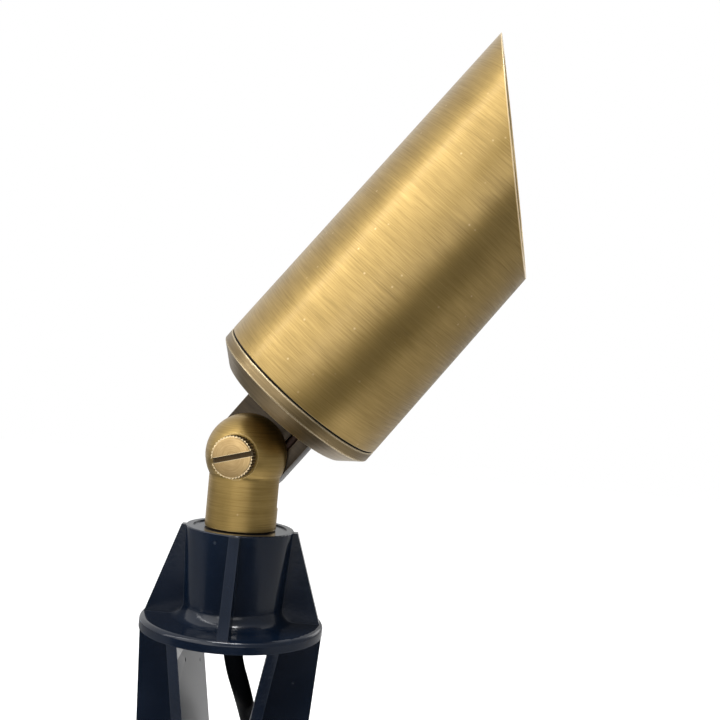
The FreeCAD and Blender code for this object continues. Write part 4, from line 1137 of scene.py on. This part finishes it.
@dataclass
class RearCap:
    """The rear cap, in millimetres in the head's frame."""

    back_s: float = Tongue.back_s
    back_radius: float = 25.8
    band_s: float = 27.1
    band_end: float = 30.75
    radius: float = 32.5
    floor_s: float = 25.2
    bore: float = 26.8
    spigot: float = 30.4
    rim_s: float = 43.75
    seal_radius: float = 32.05
    seal_thick: float = 0.5
    around: int = 192
    seal_around: int = 128
    edge_round: float = 0.45

    def build(self, brass: bpy.types.Material, rubber: bpy.types.Material) -> None:
        """Build and dress the cap and its gasket.

        Args:
            brass: The cap's finish.
            rubber: The gasket's finish.
        """
        outline = rounded([
            (0, self.back_s, 0), (self.back_radius, self.back_s, self.edge_round),
            (self.radius, self.band_s, 0.3), (self.radius, self.band_end, 0.25),
            (self.spigot, self.band_end, 0), (self.spigot, self.rim_s, 0.3), (self.bore, self.rim_s, 0.3),
            (self.bore, self.floor_s, 0.8), (0, self.floor_s, 0)])
        cap = to_object(lathe(outline, self.around), "cap_turned")
        dress(cap, Body.HEAD, brass, ["rear_cap"], STANCE.head(), crease=28.0)
        top = self.band_end + self.seal_thick
        seal = rounded([(self.spigot, self.band_end, 0.1), (self.seal_radius, self.band_end, 0.15),
                        (self.seal_radius, top, 0.15), (self.spigot, top, 0.1)], 3)
        ring = to_object(lathe(seal, self.seal_around), "seam_seal")
        dress(ring, Body.HEAD, rubber, ["seam_gasket"], STANCE.head())


@dataclass
class Cowl:
    """The slant-cut cowl, in millimetres in the head's frame."""

    start_s: float = 31.3
    radius: float = RearCap.radius
    seam_s: float = 31.0
    taper: float = 1.01
    tip_s: float = 165.8
    cut: float = 47.7
    wall: float = 1.8
    socket_end: float = 46.1
    socket_radius: float = 30.45
    bore_start: float = 94.9
    bore: float = 29.2
    seat_s: float = 102.6
    seat_radius: float = 27.4
    seat_end: float = 104.6
    lip_s: float = 160.0
    lip_round: float = 0.45
    rings: tuple[float, ...] = (50, 70, 90, 104.6, 112, 120, 130, 140, 150, 158)
    around: int = 224

    def outside(self, s: float) -> float:
        """The outside radius at a distance along the axis."""
        return self.radius - (s - self.seam_s) * math.tan(math.radians(self.taper))

    def inside(self, s: float) -> float:
        """The inside radius of the plain wall at a distance along the axis."""
        return self.outside(s) - self.wall

    def build(self, brass: bpy.types.Material) -> None:
        """Build and dress the cowl.

        Args:
            brass: Its finish.
        """
        shell = to_object(lathe(self.outline(), self.around), "cowl_shell")
        # Painted highlight: the lip's faces take the pale edge colour as a bright line round the mouth.
        lip_highlight = shell.data.attributes.new(LIP_HIGHLIGHT, "FLOAT", "POINT")
        lip_from = (self.tip_s - self.lip_round) * MM
        for vertex in shell.data.vertices:
            lip_highlight.data[vertex.index].value = 1.0 if vertex.co.z > lip_from else 0.0
        self.slant(brass).grow(shell)
        dress(shell, Body.COWL, brass, ["cowl"], STANCE.head(), crease=28.0)

    def outline(self) -> list[Point]:
        """The turned section before the mouth is cut: the wall, its seats and its lip."""
        rings = self.rings + (self.tip_s - 1.5 * self.lip_round,)
        outer = [(self.outside(s), s, 0.0) for s in rings]
        inner = [(self.inside(s), s, 0.0) for s in reversed(rings) if s > self.seat_end]
        foot = [(self.socket_radius, self.start_s, 0.2), (self.outside(self.start_s), self.start_s, 0.3)]
        lip = [(self.outside(self.tip_s), self.tip_s, 0.4), (self.inside(self.tip_s), self.tip_s, 0.4)]
        seats = [(self.inside(self.seat_end), self.seat_end, 0.4), (self.seat_radius, self.seat_end, 0.2),
                 (self.seat_radius, self.seat_s, 0.2), (self.bore, self.seat_s, 0),
                 (self.bore, self.bore_start, 0), (self.inside(self.bore_start), self.bore_start - 0.3, 0),
                 (self.inside(self.socket_end) - 0.3, self.socket_end, 0),
                 (self.socket_radius, self.socket_end, 0)]
        return rounded(foot + outer + lip + inner + seats)

    def slant(self, brass: bpy.types.Material) -> GrowthTree:
        """The tree that draws the straight mouth back to its slanted plane, keeping the lip's section."""
        tree = GrowthTree("slanted_mouth", [
            TreeInput("Tip Radius", self.outside(self.tip_s) * MM),
            TreeInput("Slope", math.tan(math.radians(90 - self.cut))),
            TreeInput("Taper", math.tan(math.radians(self.taper))),
            TreeInput("Fixed To", self.seat_end * MM + 0.0002), TreeInput("Lip From", self.lip_s * MM)])
        g = tree.graph
        spot = g.node("GeometryNodeInputPosition").outputs[0]
        place = g.node("ShaderNodeSeparateXYZ", {0: spot})
        flat = g.vector("MULTIPLY", spot, (1.0, 1.0, 0.0)).outputs[0]
        radius = g.vector("LENGTH", flat).outputs["Value"]
        share = g.math("DIVIDE", g.math("SUBTRACT", place.outputs[2], tree.input("Fixed To")),
                       g.math("SUBTRACT", tree.input("Lip From"), tree.input("Fixed To")), clamp=True)
        growth = g.math("MULTIPLY", share, tree.input("Taper"))
        lean = g.math("MULTIPLY", g.math("DIVIDE", place.outputs[0], radius), tree.input("Slope"))
        level = g.math("MULTIPLY", g.math("ADD", place.outputs[0], tree.input("Tip Radius")),
                       tree.input("Slope"))
        drop = g.math("DIVIDE", g.math("MAXIMUM", level, 0.0),
                      g.math("SUBTRACT", 1.0, g.math("MULTIPLY", lean, growth)))
        outward = g.scaled(g.vector("NORMALIZE", flat).outputs[0], g.math("MULTIPLY", drop, growth))
        back = g.math("MULTIPLY", g.math("MULTIPLY", drop, share), -1.0)
        shift = g.vector("ADD", outward, g.node("ShaderNodeCombineXYZ", {2: back}).outputs[0])
        moved = g.node("GeometryNodeSetPosition", {"Geometry": tree.input("Geometry"),
                                                   "Offset": shift.outputs[0]})
        tree.close(moved.outputs[0], brass)
        return tree


@dataclass
class LampInside:
    """The lens, its ring and gasket, and the faceted reflector lamp, in millimetres in the head's frame."""

    base_s: float = 57.0
    neck: float = 9.0
    rim: float = 25.2
    base_length: float = 11.0
    length: float = 38.0
    wall: float = 1.2
    facets: int = 36
    facet_angle: float = 4.0
    socket_radius: float = 5.6
    pane_radius: float = Cowl.bore
    keeper_s: float = 96.7
    keeper_inner: float = 26.7
    pane_s: float = 99.0
    pane_end: float = 102.0
    seal_inner: float = Cowl.seat_radius
    seal_end: float = Cowl.seat_s
    seal_around: int = 128

    def build(self, frame: dict, glass: bpy.types.Material, mirror: bpy.types.Material,
              ring: bpy.types.Material, rubber: bpy.types.Material) -> None:
        """Build and dress the lens and the lamp.

        Args:
            frame: The loaded frame.
            glass: The lens's finish.
            mirror: The reflector's finish.
            ring: The retaining ring's finish.
            rubber: The gasket's finish.
        """
        head = STANCE.head()
        pane = rounded([(0, self.pane_s, 0), (self.pane_radius, self.pane_s, 0.4),
                        (self.pane_radius, self.pane_end, 0.4), (0, self.pane_end, 0)])
        lens = to_object(lathe(pane), "lens_pane")
        dress(lens, Body.COWL, glass, ["lens"], head)
        seal = self.band(self.seal_inner, self.pane_end, self.seal_end, 0.1)
        gasket = to_object(lathe(seal, self.seal_around), "lens_seal")
        dress(gasket, Body.COWL, rubber, ["lens_gasket"], head)
        collar = self.band(self.keeper_inner, self.keeper_s, self.pane_s, 0.3)
        keeper = to_object(lathe(collar), "lens_keeper")
        dress(keeper, Body.COWL, ring, ["lens_ring"], head)
        bowl = to_object(lathe(self.bowl(), self.facets), "faceted_reflector")
        dress(bowl, Body.HEAD, mirror, ["lamp_reflector"], head, crease=self.facet_angle)
        for node in ("lamp_front_glass", "lamp_capsule"):
            finish_node(frame, node, glass)

    def band(self, inner: float, low: float, high: float, corner: float) -> list[Point]:
        """The section of a ring that fills the bore from an inner radius, with rounded corners."""
        return rounded([(inner, low, corner), (self.pane_radius, low, corner),
                        (self.pane_radius, high, corner), (inner, high, corner)], 3)

    def bowl(self) -> list[Point]:
        """The reflector's section, its inside stepped into facets."""
        base, neck_s, rim_s = self.base_s, self.base_s + self.base_length, self.base_s + self.length
        spread = self.rim - self.neck
        height = self.length - self.base_length
        shape = [(0.24, 0.12), (0.42, 0.26), (0.59, 0.41), (0.74, 0.57), (0.88, 0.77), (1.0, 1.0)]
        outer = [(self.neck + spread * across, neck_s + height * along) for across, along in shape]
        inside = [(radius - self.wall, s) for radius, s in outer[:-1]]
        step = rim_s - self.wall * 1.5
        return ([(0, base), (self.neck, base), (self.neck, neck_s)] + outer
                + [(self.rim - self.wall, rim_s), (self.rim - self.wall, step),
                   (self.rim - 2 * self.wall, step)]
                + inside[::-1]
                + [(self.neck - self.wall, neck_s + self.wall), (self.socket_radius, neck_s + self.wall),
                   (self.socket_radius, base + self.base_length / 3), (0, base + self.base_length / 3)])


# ------------------------------------------------------------------------------------------------
# Supply lead
# ------------------------------------------------------------------------------------------------

@dataclass
class SupplyLead:
    """The two-core lead: out of the hub, through the window between the legs and into its tied hank.

    Its diameter and its length are in metres.
    """

    diameter: float = 6.8 * MM
    length: float = 1.05
    end_radius: float = 20.6
    reach: float = 33.6
    waist_half: float = 11.0
    turns: int = 3
    step: float = 7.6
    middle_z: float = -138.0
    front_y: float = 44.0
    arcs: int = 7
    corner_reach: float = 1.01

    def route(self) -> list[Vector]:
        """The control points of the lead's line, in metres."""
        way = [(0, 0, 0.012), (0, 0, -0.0008), (0.0017, 0.0041, -0.0134), (0.0045, 0.0135, -0.0252),
               (0.0051, 0.0331, -0.0371), (0.0098, 0.0430, -0.0558), (0.0106, 0.0425, -0.0860),
               (0.0110, 0.0434, -0.1180)]
        points = [Vector(point) for point in way] + self.loops()
        tail = [(0.0110, 0.0684, -0.1540), (0.0070, 0.0715, -0.1780), (0.0020, 0.0725, -0.1980),
                (-0.0010, 0.0720, -0.2140)]
        return points + [Vector(point) for point in tail]

    def loops(self) -> list[Vector]:
        """The hank's turns: round ends and a drawn-in waist, each turn a step behind the last."""
        waist = (self.reach ** 2 + self.waist_half ** 2 - self.end_radius ** 2) / (
            2 * (self.end_radius - self.waist_half))
        swing = math.atan2(self.reach, self.waist_half + waist)
        around = math.pi + 2 * swing
        span = 2 * self.end_radius * around + 4 * waist * swing
        outward = self.end_radius / math.cos(around / self.arcs / 2) * self.corner_reach
        points: list[Vector] = []
        travelled = 0.0
        for _turn in range(self.turns):
            for sign in (1, -1):
                points.append(self._point(sign * self.waist_half, 0.0, travelled / span))
                travelled += waist * swing
                for index in range(self.arcs):
                    angle = -swing + around * (index + 0.5) / self.arcs
                    along = travelled + self.end_radius * around * (index + 0.5) / self.arcs
                    points.append(self._point(sign * outward * math.cos(angle),
                                              sign * (-self.reach - outward * math.sin(angle)), along / span))
                travelled += self.end_radius * around + waist * swing
        points.append(self._point(self.waist_half, 0.0, travelled / span))
        return points

    def _point(self, x: float, z: float, turns: float) -> Vector:
        """A point of the hank, in metres, after a number of turns."""
        return Vector((x, self.front_y + self.step * turns, self.middle_z + z)) * MM

    def build(self, frame: dict, sheath: bpy.types.Material, insulation: bpy.types.Material,
              copper: bpy.types.Material, rubber: bpy.types.Material) -> None:
        """Build and dress the lead, its tie and its bared end.

        Args:
            frame: The loaded frame.
            sheath: The outer sheath's finish.
            insulation: The cores' finish.
            copper: The strands' finish.
            rubber: The tie's finish.
        """
        curve = bpy.data.curves.new("lead_line", "CURVE")
        curve.dimensions = "3D"
        curve.resolution_u = 10
        curve.bevel_depth = self.diameter / 2
        curve.bevel_resolution = 5
        curve.use_fill_caps = True
        spline = curve.splines.new("NURBS")
        points = self.route()
        spline.points.add(len(points) - 1)
        for spot, point in zip(spline.points, points):
            spot.co = (*point, 1.0)
        spline.order_u = 3
        spline.use_endpoint_u = True
        curve.materials.append(sheath)
        lead = bpy.data.objects.new("two_core_lead", curve)
        bpy.context.scene.collection.objects.link(lead)
        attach(lead, Body.STAKE.value)
        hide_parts("supply_lead", "lead_hank")
        finish_node(frame, "tail_cores", insulation)
        finish_node(frame, "bared_strands", copper)
        finish_node(frame, "hank_tie", rubber)
        LOG.info("piece two_core_lead: %d points", len(points))


# ------------------------------------------------------------------------------------------------
# Studio
# ------------------------------------------------------------------------------------------------

@dataclass(frozen=True)
class Lamp:
    """A soft rectangular lamp: its place and size in metres, and its power in watts."""

    name: str
    at: Place
    size: Point
    power: float
    along_head: bool = False


@dataclass(frozen=True)
class Mat:
    """A matt card on the floor, which only gloss sees: its reach in metres and its level of grey."""

    name: str
    x: Point
    y: Point
    grey: float


@dataclass
class Studio:
    """The camera at the photograph's viewing angle, soft lamps and a plain pale floor, in metres."""

    camera_at: Place = (0.02867564, -0.34586387, 0.09419709)
    right: Place = (0.99571, -0.02418, 0.08935)
    up: Place = (-0.08959, -0.00873, 0.99594)
    focal_px: float = 977.86
    frame_px: float = 720.0
    floor_z: float = -0.246
    floor_half: float = 3.0
    floor_tones: Point = (0.90, 0.94)
    floor_lift: float = 0.66
    mat_above: float = 0.002
    soft_level: float = 0.40
    grey_level: float = 0.40
    open_side: Place = (-0.45, 0.25, 0.85)
    open_from: float = 0.1
    open_full: float = 0.8
    aim: Place = (0.04, -0.01, 0.11)
    lamps: tuple[Lamp, ...] = (
        Lamp("window_left", (-0.82, -0.99, 0.63), (1.25, 1.3), 8.5),
        Lamp("window_front", (-0.05, -1.35, 0.10), (1.30, 0.48), 3.3),
        Lamp("key_left", (-1.00, -0.36, 0.72), (0.09, 1.50), 3.8, along_head=True),
        Lamp("top_strip", (-0.03, -0.32, 1.20), (0.50, 0.14), 9.0),
        Lamp("rim_back", (0.80, 0.95, 0.42), (0.6, 0.6), 2.0))
    mats: tuple[Mat, ...] = (
        Mat("mat_front", (-2.2, 0.62), (-1.6, -0.30), 0.06),
        Mat("mat_left", (-2.6, -0.35), (-0.30, 1.2), 0.35),
        Mat("mat_right", (0.30, 2.4), (-0.30, 1.6), 0.60),
        Mat("mat_front_right", (0.62, 2.4), (-1.6, -0.30), 0.60))

    @staticmethod
    def seen(g: ShaderGraph) -> bpy.types.NodeSocket:
        """One for rays from the eye, in gloss and through glass; nought for light that falls on things."""
        rays = g.node("ShaderNodeLightPath")
        shine = g.math("MAXIMUM", rays.outputs["Is Glossy Ray"], rays.outputs["Is Transmission Ray"])
        return g.math("MAXIMUM", rays.outputs["Is Camera Ray"], shine)

    def surround(self, g: ShaderGraph, direction: bpy.types.NodeSocket) -> bpy.types.NodeSocket:
        """White to the eye; to gloss, white on the studio's open side and grey towards the room.

        Args:
            g: The graph to write into.
            direction: The direction looked in, from the object.
        Returns:
            The level.
        """
        rays = g.node("ShaderNodeLightPath")
        side = g.vector("DOT_PRODUCT", direction, self.open_side).outputs["Value"]
        rise = g.node("ShaderNodeMapRange", {
            "Value": side, "From Min": self.open_from, "From Max": self.open_full,
            "To Min": self.grey_level, "To Max": 1.0}, interpolation_type="SMOOTHSTEP").outputs["Result"]
        return g.node("ShaderNodeMix", {0: rays.outputs["Is Glossy Ray"], 2: 1.0, 3: rise},
                      data_type="FLOAT").outputs[0]

    def camera(self) -> None:
        """Make the scene's camera."""
        data = bpy.data.cameras.new("camera")
        data.sensor_width = 36.0
        data.sensor_fit = "HORIZONTAL"
        data.lens = self.focal_px * data.sensor_width / self.frame_px
        data.clip_start = 0.01
        data.clip_end = 20.0
        camera = bpy.data.objects.new("camera", data)
        right = Vector(self.right).normalized()
        up = Vector(self.up).normalized()
        back = right.cross(up)
        turn = Matrix((right, up, back)).transposed().to_4x4()
        camera.matrix_world = Matrix.Translation(self.camera_at) @ turn
        bpy.context.scene.collection.objects.link(camera)
        bpy.context.scene.camera = camera

    def floor(self) -> None:
        """Make the pale floor, which shows white and keeps the object's shadow."""
        material = bpy.data.materials.new("pale_floor")
        material.use_nodes = True
        g = ShaderGraph(material.node_tree)
        spot = g.node("ShaderNodeTexCoord").outputs["Object"]
        darker, lighter = ((level, level, level) for level in self.floor_tones)
        paper = g.node("ShaderNodeBsdfDiffuse", {"Color": g.mix(g.noise(spot, 3.0, 2.0), darker, lighter)})
        away = g.vector("NORMALIZE", g.vector("SUBTRACT", spot, self.aim).outputs[0]).outputs[0]
        lift = g.math("MULTIPLY", g.math("MULTIPLY", self.seen(g), self.floor_lift), self.surround(g, away))
        glow = g.node("ShaderNodeEmission", {"Color": (1, 1, 1, 1), "Strength": lift})
        both = g.node("ShaderNodeAddShader", {0: paper.outputs[0], 1: glow.outputs[0]})
        out = g.node("ShaderNodeOutputMaterial")
        g.tree.links.new(both.outputs[0], out.inputs["Surface"])
        bm = bmesh.new()
        bmesh.ops.create_grid(bm, x_segments=1, y_segments=1, size=self.floor_half)
        bmesh.ops.translate(bm, verts=bm.verts, vec=(0, 0, self.floor_z))
        floor = to_object(bm, "floor")
        floor.data.materials.append(material)

    def world(self) -> None:
        """White to the eye, to gloss and through glass; a soft level for everything else."""
        world = bpy.data.worlds.new("studio")
        world.use_nodes = True
        g = ShaderGraph(world.node_tree)
        soft = g.node("ShaderNodeBackground", {"Color": (1, 1, 1, 1), "Strength": self.soft_level})
        away = g.node("ShaderNodeTexCoord").outputs["Generated"]
        white = g.node("ShaderNodeBackground", {"Color": (1, 1, 1, 1), "Strength": self.surround(g, away)})
        both = g.node("ShaderNodeMixShader", {0: self.seen(g), 1: soft.outputs[0], 2: white.outputs[0]})
        out = g.node("ShaderNodeOutputWorld")
        g.tree.links.new(both.outputs[0], out.inputs["Surface"])
        bpy.context.scene.world = world

    def hang(self, lamp: Lamp) -> None:
        """Add a lamp, aimed at the lamp head."""
        data = bpy.data.lights.new(lamp.name, "AREA")
        data.shape = "RECTANGLE"
        data.size, data.size_y = lamp.size
        data.energy = lamp.power
        turn = (Vector(self.aim) - Vector(lamp.at)).to_track_quat("-Z", "Y").to_matrix()
        if lamp.along_head:
            turn = turn @ Matrix.Rotation(self.strip_roll(turn), 3, "Z")
        obj = bpy.data.objects.new(lamp.name, data)
        obj.matrix_world = Matrix.Translation(lamp.at) @ turn.to_4x4()
        bpy.context.scene.collection.objects.link(obj)

    @staticmethod
    def strip_roll(turn: Matrix) -> float:
        """The roll, in radians, that lays the height of a lamp so turned along the lamp head's axis."""
        along = turn.inverted() @ (STANCE.head().to_3x3() @ Vector((0, 0, 1)))
        return math.atan2(along.y, along.x) - math.pi / 2

    def lay(self, mat: Mat) -> None:
        """Lay a matt card on the floor."""
        material = bpy.data.materials.new(mat.name)
        material.use_nodes = True
        g = ShaderGraph(material.node_tree)
        matt = g.node("ShaderNodeBsdfDiffuse", {"Color": (mat.grey, mat.grey, mat.grey, 1.0)})
        out = g.node("ShaderNodeOutputMaterial")
        g.tree.links.new(matt.outputs[0], out.inputs["Surface"])
        above = self.floor_z + self.mat_above
        (left, right), (front, back) = mat.x, mat.y
        bm = bmesh.new()
        bm.faces.new([bm.verts.new((x, y, above)) for x, y in
                      ((left, front), (right, front), (right, back), (left, back))])
        card = to_object(bm, mat.name)
        card.data.materials.append(material)
        card.visible_camera = False
        card.visible_diffuse = False
        card.visible_shadow = False

    def build(self) -> None:
        """Make the whole studio."""
        self.camera()
        self.floor()
        self.world()
        for lamp in self.lamps:
            self.hang(lamp)
        for mat in self.mats:
            self.lay(mat)
        bpy.context.scene.view_settings.view_transform = "Standard"


def dress_hidden_nodes(frame: dict, finishes: dict[str, bpy.types.Material]) -> None:
    """Give each CAD node that stays its finish.

    Args:
        frame: The loaded frame.
        finishes: The finish of each node.
    """
    for node, material in finishes.items():
        finish_node(frame, node, material)


def main() -> None:
    """Build the studio, the finishes and every sub-assembly in order."""
    logging.basicConfig(level=logging.INFO, format="%(name)s: %(message)s")
    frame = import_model()
    Studio().build()

    head = STANCE.head()
    plastic = MouldedPlastic().build()
    sheath = SoftRubber("lead_sheath_rubber", (0.0012, 0.0022, 0.0036), (0.0030, 0.0042, 0.0060), 0.75,
                        shine=0.10).build()
    rubber = SoftRubber("seal_rubber", (0.004, 0.004, 0.004), (0.010, 0.010, 0.010), 0.7, shine=0.2).build()
    insulation = SoftRubber("core_silicone", (0.020, 0.009, 0.006), (0.034, 0.016, 0.010), 0.6,
                            shine=0.2).build()
    cowl_brass = BrushedBrass("cowl_brass", head, lacquer=0.4).build()
    post_brass = BrushedBrass("post_brass", STANCE.knuckle(), bump=0.03, speck_amount=0.02).build()
    # The cap's wide, strong pale edges are painted edge highlights over worn metal.
    cap_brass = BrushedBrass(
        "cap_brass", head, light=(0.27, 0.195, 0.095), dark=(0.13, 0.092, 0.043), edge=(0.85, 0.72, 0.48),
        speck_amount=0.03, edge_width=0.0010, wear_and_highlight=0.95).build()
    # Painted shade: the tongue's brass is made near black for its place in shadow under the cap.
    shaded_tongue_brass = BrushedBrass(
        "shaded_tongue_brass", head, light=(0.042, 0.031, 0.019), dark=(0.022, 0.016, 0.010),
        edge=(0.10, 0.07, 0.04), speck_amount=0.0, rough=0.42).build()
    raw_brass = BrushedBrass(
        "raw_brass", STANCE.screw(Thumbscrew.face_y), light=(0.54, 0.38, 0.18), dark=(0.34, 0.22, 0.09),
        edge=(0.92, 0.76, 0.48), grain=Grain.RINGS, pitch=2600.0, length=0.004, rough=0.34, bump=0.05,
        speck_amount=0.0, edge_width=0.0004, wear_and_highlight=0.9).build()
    steel = PlainMetal("plated_steel").build()
    copper = PlainMetal("bare_copper", (0.80, 0.38, 0.22), (0.55, 0.24, 0.13), 0.25).build()
    mirror = PlainMetal("reflector_coat", (0.90, 0.90, 0.92), (0.80, 0.80, 0.83), 0.06, 200.0).build()
    ceramic = FiredCeramic("fired_ceramic").build()
    fibre = FiredCeramic("pressed_fibre", (0.12, 0.04, 0.03), (0.08, 0.025, 0.02), 0.7).build()
    glass = ClearGlass("clear_glass").build()

    SupplyLead().build(frame, sheath, insulation, copper, rubber)
    GroundSpike().build(frame, plastic)
    KnucklePost().build(post_brass)
    Thumbscrew().build(raw_brass)
    Tongue().build(shaded_tongue_brass)
    RearCap().build(cap_brass, rubber)
    Cowl().build(cowl_brass)
    LampInside().build(frame, glass, mirror, raw_brass, rubber)
    dress_hidden_nodes(frame, {
        "friction_washer": fibre, "tongue_screws": steel, "cap_bush": rubber, "holder_bracket": steel,
        "bracket_screws": steel, "lamp_holder": ceramic, "holder_screws": steel, "lamp_pins": steel,
        "head_cores": insulation, "post_cores": insulation, "lead_in_post": sheath, "lead_grommet": rubber})


if __name__ == "__main__":
    main()
